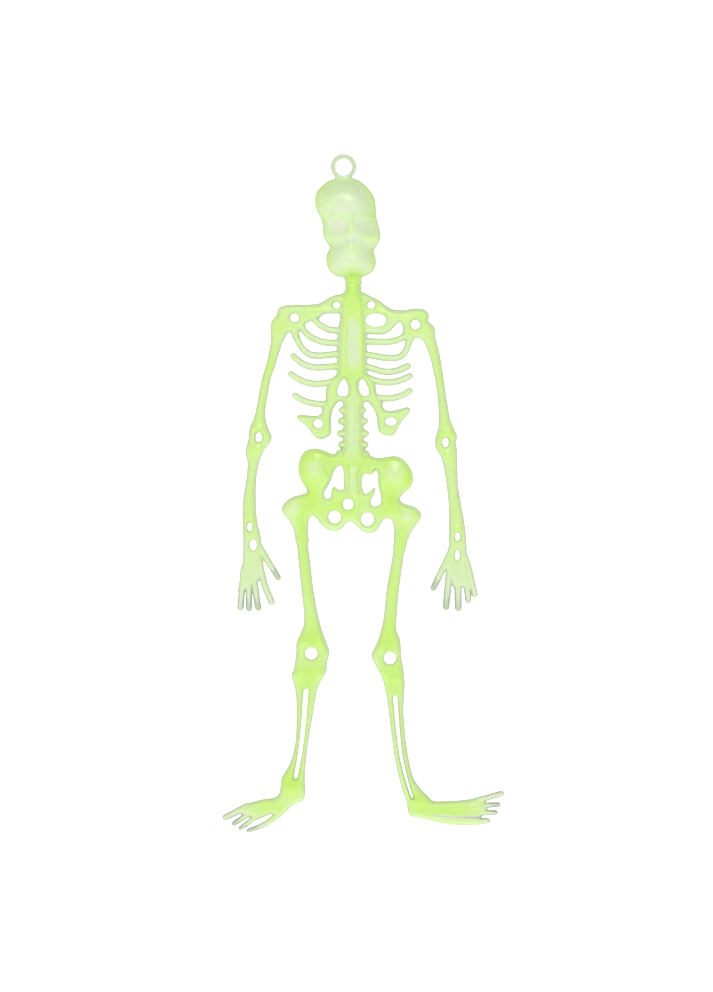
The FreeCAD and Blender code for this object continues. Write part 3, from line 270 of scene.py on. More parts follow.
PELVIS = [
    (-1.9, -133.8), (-3.5, -135.4), (-6.0, -135.5), (-9.0, -134.2), (-12.0, -133.3),
    (-15.0, -133.2), (-18.0, -134.2), (-20.0, -136.8), (-21.1, -140.5), (-21.2, -144.0),
    (-20.3, -147.5), (-18.5, -150.5), (-17.2, -152.6), (-17.6, -154.1), (-20.0, -154.9),
    (-24.0, -156.0), (-27.0, -158.0), (-28.8, -160.5), (-28.9, -162.8), (-27.5, -165.0),
    (-25.5, -167.5), (-24.0, -170.2), (-22.9, -173.5), (-22.0, -178.0), (-16.8, -178.0),
    (-16.9, -173.0), (-16.8, -169.0), (-16.1, -166.0), (-14.5, -164.8), (-12.5, -166.3),
    (-10.5, -169.0), (-8.0, -171.0), (-5.0, -172.0), (-2.5, -171.8), (-0.5, -170.5),
    (1.0, -168.6), (2.8, -167.5), (4.5, -168.1), (6.5, -170.0), (9.0, -172.0), (12.0, -173.0),
    (14.5, -172.5), (16.5, -170.5), (18.0, -168.0), (19.5, -166.3), (21.5, -166.0),
    (23.2, -167.6), (23.9, -171.0), (24.0, -176.0), (23.7, -181.0), (28.9, -181.0),
    (29.8, -177.0), (31.1, -174.0), (33.2, -170.6), (35.4, -167.7), (36.6, -165.3),
    (36.2, -163.2), (34.0, -161.0), (30.0, -159.7), (27.4, -158.4), (26.7, -156.6),
    (28.3, -154.2), (31.0, -152.0), (32.5, -149.5), (32.8, -146.0), (31.6, -142.5),
    (29.5, -139.5), (27.0, -137.5), (24.0, -136.7), (21.0, -137.0), (18.0, -137.5),
    (15.0, -137.4), (12.5, -136.3), (10.6, -134.0),
]
LEFT_ARM = [
    [(-34.4, -84.0), (-35.5, -90.0), (-36.9, -95.0), (-38.4, -100.0), (-39.6, -106.0),
     (-40.7, -112.0), (-41.6, -116.5), (-42.7, -120.0), (-44.0, -122.6), (-44.6, -125.5),
     (-44.7, -128.0), (-45.3, -130.8), (-46.0, -133.0), (-46.0, -136.0), (-45.3, -139.0),
     (-45.3, -143.0), (-46.0, -149.0), (-47.0, -155.0), (-47.6, -162.0), (-47.5, -170.0),
     (-47.2, -178.0), (-47.5, -185.0), (-48.3, -192.0), (-49.8, -200.5)],
    [(-49.8, -200.5), (-46.5, -200.0)], [(-46.5, -200.0), (-43.0, -197.0)],
    [(-43.0, -197.0), (-39.8, -195.5)], [(-39.8, -195.5), (-37.9, -188.0)],
    [(-37.9, -188.0), (-38.6, -183.0), (-38.9, -178.0), (-39.5, -173.0), (-40.4, -170.0),
     (-41.1, -166.0), (-41.5, -160.0), (-41.6, -153.0), (-41.3, -147.0), (-40.6, -142.5),
     (-39.6, -138.5), (-38.2, -135.0), (-36.8, -132.6), (-35.0, -130.6), (-34.0, -127.8),
     (-35.0, -125.0), (-36.2, -122.0), (-36.9, -119.0), (-37.0, -115.0), (-36.3, -110.0),
     (-35.3, -104.0), (-34.2, -99.0), (-32.7, -95.0), (-31.2, -90.0), (-29.3, -84.0)],
    [(-29.3, -84.0), (-34.4, -84.0)],
]
RIGHT_ARM = [
    [(44.0, -83.5), (44.8, -87.0), (45.9, -92.0), (46.8, -97.0), (47.5, -102.0),
     (48.3, -108.0), (49.2, -113.0), (50.0, -118.0), (51.3, -122.0), (52.7, -125.0),
     (53.6, -127.4), (53.0, -130.5), (53.6, -134.5), (53.7, -142.0), (54.1, -151.0),
     (55.8, -161.0), (56.8, -167.0), (57.6, -173.0), (58.0, -179.0), (58.3, -185.0),
     (59.4, -190.0), (61.3, -196.5)],
    [(61.3, -196.5), (60.3, -200.5)], [(60.3, -200.5), (56.2, -198.6)],
    [(56.2, -198.6), (52.0, -198.8)], [(52.0, -198.8), (48.8, -191.2)],
    [(48.8, -191.2), (47.2, -188.0), (49.2, -183.0), (49.8, -179.0), (50.0, -174.0),
     (50.0, -168.0), (49.9, -161.0), (49.4, -155.0), (48.7, -149.0), (47.7, -143.0),
     (46.5, -138.0), (43.8, -133.0), (43.4, -129.5), (44.0, -126.0), (45.0, -123.0),
     (45.1, -118.0), (44.9, -112.0), (44.3, -106.0), (43.3, -100.0), (42.2, -95.0),
     (41.4, -91.0), (39.2, -84.8)],
    [(39.2, -84.8), (44.0, -83.5)],
]
LEFT_LEG = [
    [(-23.2, -172.0), (-22.3, -176.0), (-21.6, -181.0), (-20.9, -189.0), (-20.0, -197.0),
     (-19.2, -205.0), (-18.5, -211.0), (-18.6, -216.0), (-20.0, -220.0), (-22.1, -225.0),
     (-22.2, -229.5), (-22.8, -234.0), (-23.3, -237.0), (-24.5, -240.3), (-23.2, -244.8),
     (-22.2, -251.0), (-22.1, -262.0), (-22.5, -271.0), (-23.5, -276.6), (-25.4, -282.4),
     (-28.8, -288.2), (-29.6, -292.0), (-29.9, -295.1), (-31.2, -297.3), (-33.6, -298.4),
     (-38.0, -298.9), (-42.0, -300.0), (-46.8, -301.3), (-50.5, -303.0)],
    [(-50.5, -303.0), (-48.4, -305.9)], [(-48.4, -305.9), (-43.9, -307.0)],
    [(-43.9, -307.0), (-41.4, -308.7)],
    [(-41.4, -308.7), (-37.5, -306.9), (-34.0, -305.6), (-33.1, -306.2), (-33.9, -307.5)],
    [(-33.9, -307.5), (-32.6, -309.0)],
    [(-32.6, -309.0), (-29.9, -307.0), (-27.3, -304.7), (-24.5, -302.0), (-21.5, -300.3),
     (-19.3, -299.3), (-18.3, -297.0), (-18.1, -294.2), (-18.4, -290.0), (-18.0, -283.0),
     (-17.2, -275.0), (-16.1, -268.0), (-14.2, -256.5), (-12.8, -248.5), (-11.2, -243.8),
     (-8.3, -238.8), (-7.9, -234.4), (-6.8, -229.8), (-7.9, -225.4), (-9.8, -220.6),
     (-11.6, -214.0), (-13.4, -205.5), (-14.7, -197.0), (-15.7, -188.0), (-16.6, -181.0),
     (-16.9, -176.0), (-16.8, -172.0)],
    [(-16.8, -172.0), (-23.2, -172.0)],
]
RIGHT_LEG = [
    [(31.6, -173.0), (29.6, -178.5), (28.3, -184.3), (27.3, -191.0), (26.2, -199.0),
     (25.4, -207.0), (24.9, -215.0), (25.0, -219.3), (26.6, -223.3), (27.0, -227.6),
     (27.4, -233.0), (28.4, -238.5), (28.8, -244.8), (28.4, -252.0), (28.2, -257.0),
     (28.6, -263.3), (29.2, -270.3), (30.2, -277.2), (31.5, -283.6), (33.2, -289.3),
     (36.8, -294.5), (39.9, -297.4), (42.4, -299.7), (47.6, -299.9), (54.8, -299.5),
     (62.1, -298.5), (68.6, -297.2)],
    [(68.6, -297.2), (67.0, -299.8)], [(67.0, -299.8), (67.9, -303.4)],
    [(67.9, -303.4), (64.8, -307.2)], [(64.8, -307.2), (66.4, -310.4)],
    [(66.4, -310.4), (60.3, -311.0), (53.0, -310.8), (46.5, -309.9), (40.3, -308.5),
     (34.9, -307.2), (31.6, -306.3), (30.4, -303.5), (30.0, -299.9), (28.3, -295.7),
     (27.2, -292.2), (25.0, -283.0), (23.4, -273.2), (22.0, -262.0), (21.0, -253.5),
     (19.7, -246.6), (18.2, -241.2), (15.8, -236.6), (13.3, -231.3), (14.6, -227.6),
     (16.7, -222.8), (18.4, -216.8), (19.4, -210.5), (20.4, -200.5), (21.5, -194.0),
     (22.9, -186.0), (23.8, -180.0), (24.1, -173.0)],
    [(24.1, -173.0), (31.6, -173.0)],
]
RIBS = [
    [(0.0, -77.4), (-3.5, -77.3), (-7.0, -76.8), (-10.0, -75.4), (-12.5, -73.3), (-15.0, -70.4)],
    [(0.0, -83.3), (-8.0, -83.0), (-12.0, -82.0), (-16.0, -80.0), (-18.5, -77.5), (-20.4, -74.2)],
    [(0.0, -88.0), (-8.0, -88.9), (-12.0, -89.2), (-15.5, -88.7), (-18.0, -87.2), (-20.0, -85.0),
     (-21.3, -82.5), (-23.0, -77.9)],
    [(0.0, -94.0), (-6.0, -94.4), (-10.5, -94.8), (-14.5, -94.6), (-18.0, -93.6), (-21.0, -91.8),
     (-23.7, -89.4)],
    [(-4.0, -101.2), (-10.5, -102.4), (-14.5, -102.4), (-18.5, -101.5), (-22.0, -99.8),
     (-24.8, -98.0)],
    [(-6.0, -112.2), (-12.0, -112.0), (-16.0, -111.3), (-20.0, -109.9), (-22.8, -108.1)],
    [(8.0, -77.3), (15.0, -77.6), (18.5, -77.5), (21.5, -76.0), (24.8, -72.2)],
    [(8.0, -82.3), (15.0, -82.6), (20.0, -82.7), (24.0, -82.2), (29.4, -80.0)],
    [(8.0, -88.2), (15.0, -89.4), (20.0, -90.2), (24.0, -90.3), (27.0, -89.5), (29.2, -87.2),
     (30.5, -84.0), (31.2, -80.5)],
    [(8.0, -93.4), (14.0, -95.3), (18.0, -96.5), (22.0, -96.8), (26.0, -96.0), (30.4, -94.1)],
    [(10.6, -99.2), (16.0, -101.2), (20.0, -101.8), (25.0, -101.4), (31.3, -98.9)],
    [(14.0, -108.8), (20.0, -109.4), (24.0, -109.0), (28.0, -107.8), (31.2, -105.9)],
]
# Points, and the half-width at each end.
DIGITS = [
    ([(-47.2, -190.0), (-48.7, -208.2)], 1.35, 1.35),
    ([(-44.8, -190.0), (-44.7, -208.6)], 1.4, 1.25),
    ([(-42.6, -188.0), (-41.7, -199.0), (-40.3, -208.3)], 1.5, 1.3),
    ([(-40.0, -186.0), (-37.4, -197.0), (-34.0, -205.5)], 1.5, 1.35),
    ([(-40.2, -179.0), (-30.9, -194.0)], 1.6, 1.2),
    ([(51.2, -181.0), (42.5, -198.9)], 1.6, 1.3),
    ([(50.4, -188.0), (48.4, -207.9)], 1.6, 1.4),
    ([(54.0, -190.0), (54.2, -208.2)], 1.6, 1.5),
    ([(57.2, -190.0), (59.0, -204.6)], 1.5, 1.3),
    ([(57.4, -184.0), (59.6, -191.0), (62.0, -201.9)], 1.3, 1.3),
]
TOES = [
    ([(-45.8, -302.4), (-55.9, -307.4)], 1.6, 1.25),
    ([(-44.0, -305.2), (-51.8, -310.3)], 1.2, 0.95),
    ([(-41.4, -306.6), (-45.5, -310.2), (-48.8, -312.5)], 1.3, 0.75),
    ([(-30.4, -305.6), (-35.3, -309.5), (-40.0, -311.9), (-45.0, -313.6)], 1.5, 0.8),
    ([(63.0, -299.4), (74.6, -296.1)], 1.3, 1.1),
    ([(63.5, -301.9), (73.0, -301.3)], 1.2, 0.95),
    ([(63.5, -305.2), (71.8, -305.1)], 1.3, 0.95),
    ([(60.5, -309.2), (68.0, -309.0)], 1.4, 1.15),
]
LEFT_SLOT = [(-17.7, -247.9), (-18.1, -252.0), (-18.5, -258.0), (-19.2, -266.0),
             (-20.1, -273.7), (-21.0, -280.0), (-22.6, -288.3)]
RIGHT_SLOT = [(24.5, -250.8), (24.9, -256.4), (25.5, -264.0), (26.3, -271.5),
              (27.4, -279.5), (29.6, -288.8), (32.5, -297.9)]
LEFT_OPENING = [
    (-1.5, -141.0), (-4.0, -143.0), (-5.5, -147.0), (-7.5, -151.0), (-9.1, -153.6),
    (-8.9, -156.0), (-7.2, -156.9), (-5.9, -155.6), (-5.5, -152.6), (-4.4, -151.1),
    (-2.8, -152.3), (-1.0, -152.8), (0.2, -151.8), (0.1, -147.5), (-0.2, -143.0),
]
RIGHT_OPENING = [
    (15.5, -143.0), (14.2, -144.4), (12.8, -145.5), (11.0, -145.2), (9.4, -145.4),
    (8.8, -148.0), (9.0, -152.0), (10.0, -154.5), (11.6, -154.0), (13.4, -152.3),
    (14.4, -151.6), (15.1, -152.4), (14.4, -154.6), (13.1, -157.0), (12.9, -159.2),
    (14.5, -160.5), (16.6, -160.0), (17.8, -158.0), (17.4, -154.0), (16.4, -150.0),
    (16.3, -146.0),
]
LEFT_DROP = [(0.3, -100.2), (-1.1, -101.2), (-2.3, -103.2), (-3.0, -106.0), (-2.6, -107.7),
             (-0.5, -108.3), (1.6, -107.9), (2.3, -105.2), (1.5, -102.0)]
RIGHT_DROP = [(8.8, -100.2), (7.4, -102.0), (7.5, -105.5), (8.8, -107.8), (10.6, -108.4),
              (12.1, -107.2), (11.6, -104.2), (10.2, -101.3)]

# Middle, half-width and half-height.
HOLES = [
    (-23.1, -71.3, 2.1, 2.1), (34.0, -74.5, 2.3, 2.3),  # shoulders
    (-3.3, -65.3, 1.8, 1.7), (13.1, -65.2, 1.9, 1.8), (15.3, -72.4, 5.0, 3.2),  # below the neck
    (-12.0, -121.3, 2.3, 2.1), (22.4, -120.3, 2.8, 2.0),  # costal arches
    (-40.0, -127.8, 1.6, 2.4), (48.2, -130.2, 1.6, 2.3),  # elbows
    (-44.3, -170.1, 1.25, 2.2), (-42.7, -178.7, 1.75, 2.7),  # left wrist and hand
    (53.9, -174.7, 1.3, 2.1), (53.8, -183.6, 1.25, 2.6),  # right wrist and hand
    (-15.2, -229.9, 3.0, 2.9), (22.0, -232.1, 3.0, 3.0),  # knees
    (-4.2, -165.5, 3.0, 3.0), (11.3, -166.5, 3.1, 3.2), (2.2, -159.4, 2.6, 2.6),  # pelvis
]

# --- the moulding ------------------------------------------------------------------------
add(ellipse(0, 0, RING_RADIUS, RING_RADIUS), RING_THICK, 1.5)
add(bar([(0, -4.9), (0, -7.0)], 3.5, 3.8), 2.6, 1.6)
cut(ellipse(0, 0, RING_BORE + MARGIN, RING_BORE + MARGIN))
skull_area, skull_distance = polygon(curve(SKULL, closed=True))
add((skull_area, skull_distance), SKULL_THICK, 9.5, crest=0.8)
front[skull_area] = np.maximum(front[skull_area], EDGE)
smooth(front, skull_area, 0.8)
add(polygon(curve(COLUMN, closed=True)), SPINE_THICK, 3.4)
for z, left, right in KNOBS:
    add(ellipse(left + 2.2, z, 2.2, 1.75), 3.0, 1.6, join=0.5)
    add(ellipse(right - 2.2, z, 2.2, 1.75), 3.0, 1.6, join=0.5)
add(polygon(outline(*LEFT_GIRDLE)), LIMB_THICK, 2.4)
add(polygon(outline(*RIGHT_GIRDLE)), LIMB_THICK, 2.4)
add(polygon(outline(*LEFT_ARCH)), LIMB_THICK, 2.2)
add(polygon(outline(*RIGHT_ARCH)), LIMB_THICK, 2.2)
for rib in RIBS:
    add(bar(rib, 1.45, 1.4), RIB_THICK, 1.2)
add(polygon(curve(PELVIS, closed=True)), taper(PELVIS_THICK, LIMB_THICK, -158.0, -170.0), 2.6)
for limb in (LEFT_ARM, RIGHT_ARM):
    add(polygon(outline(*limb)), taper(LIMB_THICK, HAND_THICK, -165.0, -190.0), 2.4,
        join=0.3, crest=0.1)
for limb in (LEFT_LEG, RIGHT_LEG):
    add(polygon(outline(*limb)), taper(LIMB_THICK, FOOT_THICK, -292.0, -302.0), 2.4,
        join=0.3, crest=0.1)
for points, start, end in DIGITS + TOES:
    add(bar(points, start, end), DIGIT_THICK, 1.1, join=0.3, crest=0.3)
for hole in HOLES:
    cut(ellipse(*hole))
for points in (LEFT_OPENING, RIGHT_OPENING, LEFT_DROP, RIGHT_DROP):
    cut(polygon(curve(points, closed=True)))
cut(bar(LEFT_SLOT, 1.3, 0.95))
cut(bar(RIGHT_SLOT, 1.1, 0.6))

# Skull: cranium and sockets, which the hollow behind follows, then brow, nose, cheeks, jaws
# and mouth, which it doesn't.
relief(front, 1.6, -18.5, 8.5, 6.5, 1.6)
relief(front, -8.8, -16.0, 3.2, 5.5, 0.5)
relief(front, -2.0, -28.5, 4.4, 3.7, -1.9, power=3)
relief(front, 10.4, -28.5, 3.7, 3.7, -1.9, power=3)
relief(front, -7.0, -38.6, 3.0, 2.2, -1.4)
relief(front, 14.4, -39.0, 3.0, 2.2, -1.4)
core = front - SKULL_WALL
relief(front, -3.0, -24.2, 4.8, 1.2, 0.5, turn=-6)
relief(front, 10.0, -24.2, 4.4, 1.2, 0.5, turn=6)
relief(front, 3.4, -28.6, 1.6, 5.0, 1.2)
relief(front, 2.2, -35.0, 1.3, 1.9, -0.9, turn=-14)
relief(front, 5.0, -35.0, 1.3, 1.9, -0.9, turn=14)
relief(front, -5.4, -33.2, 3.6, 1.4, 0.7, turn=-20)
relief(front, 13.2, -33.4, 3.2, 1.4, 0.7, turn=24)
relief(front, 2.6, -39.4, 4.8, 2.4, 0.8)
relief(front, 3.4, -43.6, 5.6, 0.9, -0.4)
relief(front, 3.6, -48.0, 5.0, 2.4, 0.7)
# Breastbone with its thin stripe, neck rings, and the ridge of the spine.
relief(front, 4.5, -83.5, 3.1, 13.4, -0.6, power=6)
relief(hollow, 4.5, -83.5, 3.0, 13.2, 2.9, power=6)
for z in (-53.6, -56.0):
    relief(front, 4.5, z, 5.0, 0.7, 0.45)
for z, left, right in KNOBS:
    relief(front, 4.6, z, 3.0, 1.4, 0.25)
relief(front, 4.6, -121.0, 0.8, 13.0, 0.35, power=4)
# Collar bones and shoulder blades.
relief(front, -12.0, -67.0, 9.0, 1.0, 0.5, turn=-8)
relief(front, 24.0, -70.0, 9.0, 1.1, 0.5, turn=-14)
relief(front, -29.0, -73.6, 3.2, 5.0, 0.6)
relief(front, 38.4, -75.0, 3.0, 4.6, 0.6)
# Pelvis: wings with thin domed middles, sacrum, hip knobs.
relief(front, -13.2, -142.6, 6.2, 7.4, 2.4, turn=-10)
relief(front, 24.0, -145.2, 6.6, 6.6, 2.4)
relief(hollow, -13.4, -142.8, 4.6, 5.6, 6.0)
relief(hollow, 24.6, -145.4, 5.2, 5.2, 6.0)
relief(front, 4.4, -146.0, 2.6, 10.0, 0.7)
relief(front, 2.6, -142.4, 2.2, 0.6, 0.5, turn=-28)
relief(front, 6.6, -142.4, 2.2, 0.6, 0.5, turn=28)
relief(front, -11.6, -144.6, 0.9, 6.4, 0.6, turn=14)
relief(front, 23.0, -158.0, 0.8, 4.4, 0.7, turn=-10)
relief(front, 26.4, -164.0, 0.7, 4.0, 0.5, turn=22)
relief(front, -8.6, -146.5, 1.3, 6.0, 0.7, turn=24)
relief(front, -24.0, -161.0, 3.4, 3.0, 0.9)
relief(front, 30.4, -164.6, 3.6, 3.0, 0.9)
relief(hollow, -23.4, -161.2, 3.0, 2.8, 3.0)
relief(hollow, 30.0, -164.8, 3.2, 2.8, 3.0)
relief(front, -19.8, -158.0, 1.0, 7.0, 0.5)
# Elbows, knees and ankles.
for x, z, wide, high in ((-40.4, -123.6, 2.6, 1.6), (-40.6, -133.4, 2.8, 2.2),
                         (49.0, -125.6, 2.6, 1.6), (49.0, -136.0, 2.6, 2.4),
                         (-44.0, -166.0, 2.2, 2.0), (53.6, -171.0, 2.4, 2.0),
                         (-18.6, -224.0, 2.6, 2.4), (-11.4, -223.6, 2.4, 2.6),
                         (-20.0, -238.6, 2.8, 2.6), (-12.4, -238.6, 2.8, 2.6),
                         (18.0, -226.6, 2.6, 2.6), (24.6, -226.0, 2.2, 2.6),
                         (18.6, -239.0, 2.4, 2.4), (25.2, -241.0, 2.4, 2.6),
                         (-24.4, -293.0, 3.0, 2.6), (36.0, -299.6, 3.4, 2.4)):
    relief(front, x, z, wide, high, 0.8)
for x in (-46.2, -44.4, -42.6, -40.8):
    relief(front, x, -187.0, 0.35, 6.0, -0.3, turn=2)
for x in (52.0, 54.0, 56.0, 57.8):
    relief(front, x, -190.0, 0.35, 6.0, -0.3, turn=4)
groove_area, groove = bar([(43.5, -306.4), (54.0, -307.1), (66.0, -307.3)], 0.5, 0.55)
hollow[groove_area] = np.maximum(hollow[groove_area], 1.6 * swell(0.4 - groove, 0.6))
for offset in (0.0, 2.0):
    relief(front, 58.0, -302.0 - offset, 8.0, 0.35, -0.25, turn=2)
    relief(front, -43.0 + offset, -303.4 - offset, 5.0, 0.35, -0.25, turn=28)
# Hollow back of the skull, a wall's thickness behind its face.
inner = swell(-skull_distance - SKULL_WALL, 1.0)
hollow[skull_area] = np.maximum(hollow[skull_area], core[skull_area] * inner)
neck_solid = np.clip((Z_GRID - -52.0) / 3.0, 0, 1)[None, :]
ring_solid = np.clip((-7.6 - Z_GRID) / 2.0, 0, 1)[None, :]
hollow = np.where(Z_GRID[None, :] > -54.0, hollow * neck_solid * ring_solid, hollow)

distance = -lower(-distance, holes, 0.15)
lip = EDGE + LIP_RISE * swell(holes, LIP_WIDTH)
front = np.minimum(front, np.where(holes < 1.6, lip, 99.0))
front = np.maximum(front, EDGE)
hollow = np.clip(hollow, 0, np.maximum(front - THINNEST, 0)) * swell(-distance - 0.5, 1.0)

# Depth of colour: the wall's thickness, and soft patches where the plastic is deeper or paler; the
# patches on the feet and at the finger, thumb and toe tips are painted shade.
tone = np.clip(front - hollow, 0, 3.5)
on_skull = Z_GRID[None, skull_area[1]] > -52.0
tone[skull_area] = np.where(on_skull, np.minimum(tone[skull_area], 2.4), tone[skull_area])
# Middle, half-width, half-height and amount.
TONES = [
    (0.0, 0.0, 7.0, 7.0, -1.2), (0.5, -10.5, 10.0, 3.0, 0.6), (-9.5, -16.0, 4.0, 7.0, 0.8),
    (12.0, -20.0, 3.0, 9.0, 0.8), (2.0, -19.5, 6.5, 5.5, -0.5), (-2.0, -28.4, 4.6, 3.9, -0.5),
    (10.4, -28.4, 3.9, 3.9, -0.5), (-2.4, -24.0, 5.0, 1.2, 0.7), (10.6, -24.2, 4.4, 1.2, 0.7),
    (4.2, -29.5, 1.6, 4.5, 0.2), (-14.0, -92.0, 9.0, 16.0, -0.5), (23.0, -92.0, 9.0, 16.0, -0.4),
    (-3.0, -33.0, 5.0, 1.2, 0.5), (12.0, -33.5, 4.0, 1.4, 0.6), (-6.0, -43.0, 1.6, 6.0, 0.9),
    (13.0, -43.0, 1.8, 6.0, 1.1), (3.4, -36.0, 3.6, 1.6, 0.1), (3.4, -47.5, 5.0, 2.6, -0.6),
    (4.5, -51.0, 4.5, 1.6, 1.0), (4.4, -58.0, 4.5, 9.0, 1.4), (-1.2, -80.0, 1.6, 16.0, -0.8),
    (4.5, -99.5, 6.0, 3.0, 0.5), (4.6, -125.0, 4.5, 14.0, -1.3), (30.0, -73.0, 10.0, 5.0, 0.4),
    (-36.0, -98.0, 5.0, 20.0, 0.8), (45.0, -100.0, 5.0, 20.0, 0.5), (-40.0, -128.0, 4.0, 9.0, 0.5),
    (49.0, -130.0, 4.0, 9.0, 0.5), (4.5, -140.0, 9.0, 4.0, 1.0), (-14.0, -137.0, 7.0, 2.6, 1.4),
    (-19.0, -142.0, 2.2, 7.0, 1.2), (30.5, -147.0, 2.4, 7.0, 1.6), (20.0, -139.0, 7.0, 2.0, 1.0),
    (-13.6, -143.6, 4.6, 5.4, 1.5), (24.8, -145.4, 5.0, 5.0, 1.8), (-22.6, -161.2, 4.0, 3.6, 0.6),
    (29.6, -164.6, 4.2, 3.6, 0.6), (-15.0, -155.0, 3.0, 8.0, 2.2), (21.5, -157.0, 3.4, 7.0, 2.0),
    (4.4, -148.0, 2.8, 8.0, -1.0), (-0.5, -161.0, 8.0, 4.0, 0.8), (-19.8, -172.0, 3.0, 9.0, 1.4),
    (27.0, -176.0, 3.6, 10.0, 1.0), (-17.4, -198.0, 4.0, 16.0, 0.9), (23.6, -202.0, 4.0, 16.0, 0.9),
    (-15.0, -222.0, 6.0, 7.0, 1.5), (21.0, -222.0, 6.0, 7.0, 1.4), (-16.0, -241.0, 6.0, 7.0, 1.3),
    (23.0, -242.0, 6.0, 7.0, 1.3), (-19.0, -262.0, 5.0, 14.0, 0.6), (25.0, -264.0, 5.0, 14.0, 0.5),
    # Painted shade: the patches at (50, -304) and (-36, -302) deepen the feet's colour, and those at the
    # toe, finger and thumb tips, with amounts of -1.6 and -1.8, darken them towards grey.
    (-24.5, -291.0, 6.0, 7.0, 1.9), (35.0, -300.0, 8.0, 6.0, 1.6), (50.0, -304.0, 15.0, 4.5, 1.7),
    (-36.0, -302.0, 8.0, 4.5, 1.4), (72.0, -302.0, 5.0, 9.0, -1.8), (-52.0, -309.5, 6.0, 5.0, -1.8),
    (-42.0, -313.0, 7.0, 2.6, -1.6), (-43.0, -196.0, 10.0, 14.0, -0.2), (54.0, -196.0, 12.0, 14.0, -0.2),
    (-41.0, -209.0, 17.0, 8.5, -1.6), (54.0, -208.0, 17.0, 8.5, -1.6), (-31.5, -192.5, 4.0, 4.5, -1.6),
    (43.2, -197.5, 4.0, 4.5, -1.6),
]
for x, z, wide, high, amount in TONES:
    relief(tone, x, z, wide, high, amount)
tone[groove_area] -= 1.7 * swell(0.6 - groove, 0.9)

# --- meshes ------------------------------------------------------------------------------
def at(field, i, j):
    """Field between four samples, bilinear, at fractional places in the grid."""
    i0 = np.clip(np.floor(i).astype(int), 0, field.shape[0] - 2)
    j0 = np.clip(np.floor(j).astype(int), 0, field.shape[1] - 2)
    u, v = i - i0, j - j0
    return ((field[i0, j0] * (1 - u) + field[i0 + 1, j0] * u) * (1 - v)
            + (field[i0, j0 + 1] * (1 - u) + field[i0 + 1, j0 + 1] * u) * v)


def cell_vertices():
    """Place of the vertex of each cell: its middle, or the middle of the outline through it."""
    d = distance
    nx, nz = d.shape
    total = np.zeros((2, nx - 1, nz - 1))
    count = np.zeros((nx - 1, nz - 1))
    corners = ((0, 0), (1, 0), (1, 1), (0, 1))
    for (i0, j0), (i1, j1) in zip(corners, corners[1:] + corners[:1]):
        a = d[i0:nx - 1 + i0, j0:nz - 1 + j0]
        b = d[i1:nx - 1 + i1, j1:nz - 1 + j1]
        crossed = (a < 0) != (b < 0)
        t = np.where(crossed, a / np.where(crossed, a - b, 1), 0)
        total[0] += crossed * (i0 + (i1 - i0) * t)
        total[1] += crossed * (j0 + (j1 - j0) * t)
        count += crossed
    place = np.where(count > 0, total / np.maximum(count, 1), 0.5)
    ii, jj = np.meshgrid(np.arange(nx - 1), np.arange(nz - 1), indexing="ij")
    return ii + place[0], jj + place[1], count > 0


CELL_I, CELL_J, ON_OUTLINE = cell_vertices()
INSIDE = distance < 0
FRONT_AT = np.where(ON_OUTLINE, EDGE, at(front, CELL_I, CELL_J))
HOLLOW_AT = np.where(ON_OUTLINE, 0.0, at(hollow, CELL_I, CELL_J))
TONE_AT = at(tone, CELL_I, CELL_J)
INWARD_AT = np.where(ON_OUTLINE, 0.0, -at(distance, CELL_I, CELL_J))
X_AT = X_GRID[0] + CELL_I * STEP
Z_AT = Z_GRID[0] + CELL_J * STEP


def make_piece(name, mask, material):
    """Closed mesh of the part of the moulding whose samples are in the mask."""
    picked = mask & INSIDE
    picked[0], picked[-1], picked[:, 0], picked[:, -1] = False, False, False, False
    i, j = np.nonzero(picked)
    nz = CELL_I.shape[1]

    def cell(a, b):
        return a * nz + b
    quads = np.stack([cell(i - 1, j - 1), cell(i, j - 1), cell(i, j), cell(i - 1, j)], 1)
    edges = []
    sides = (((-1, 0), (3, 0)), ((1, 0), (1, 2)), ((0, -1), (0, 1)), ((0, 1), (2, 3)))
    for (di, dj), (p, q) in sides:
        open_side = ~picked[i + di, j + dj]
        edges.append(quads[open_side][:, [p, q]])
    edges = np.concatenate(edges)
    used, inverse = np.unique(quads, return_inverse=True)
    quads = inverse.reshape(quads.shape)
    lookup = np.full(CELL_I.size, -1)
    lookup[used] = np.arange(len(used))
    edges = lookup[edges]
    n = len(used)
    x, z = X_AT.ravel()[used], Z_AT.ravel()[used]
    rim = np.zeros(n, bool)
    rim[edges.ravel()] = True
    top = np.stack([x, -FRONT_AT.ravel()[used], z], 1)
    back = np.stack([x, -HOLLOW_AT.ravel()[used], z], 1)
    co = np.concatenate([top, back]) / 1000
    faces = np.concatenate([quads, quads[:, ::-1] + n,
                            np.stack([edges[:, 1], edges[:, 0], edges[:, 0] + n, edges[:, 1] + n], 1)])
    mesh = bpy.data.meshes.new(name)
    mesh.from_pydata(co.tolist(), [], faces.tolist())
    deep = TONE_AT.ravel()[used]
    inward = INWARD_AT.ravel()[used]
    for label, values in (("tone", deep), ("inward", inward)):
        layer = mesh.attributes.new(label, "FLOAT", "POINT")
        layer.data.foreach_set("value", np.concatenate([values, values]).astype(np.float32))
    mesh.shade_smooth()
    on_outline = ON_OUTLINE.ravel()[used]
    on_outline = np.concatenate([on_outline, on_outline])
    is_rim = np.concatenate([rim, rim])
    pairs = np.zeros(len(mesh.edges) * 2, int)
    mesh.edges.foreach_get("vertices", pairs)
    pairs = pairs.reshape(-1, 2)
    cut_edge = (is_rim[pairs].all(1) & ~on_outline[pairs].all(1))
    rim_edge = is_rim[pairs].all(1) & ((pairs >= n).all(1) | (pairs < n).all(1))
    sharp = mesh.attributes.new("sharp_edge", "BOOLEAN", "EDGE")
    sharp.data.foreach_set("value", cut_edge | rim_edge)
    mesh.validate()
    mesh.update()
    piece = bpy.data.objects.new(name, mesh)
    bpy.context.scene.collection.objects.link(piece)
    mesh.materials.append(material)
    return piece


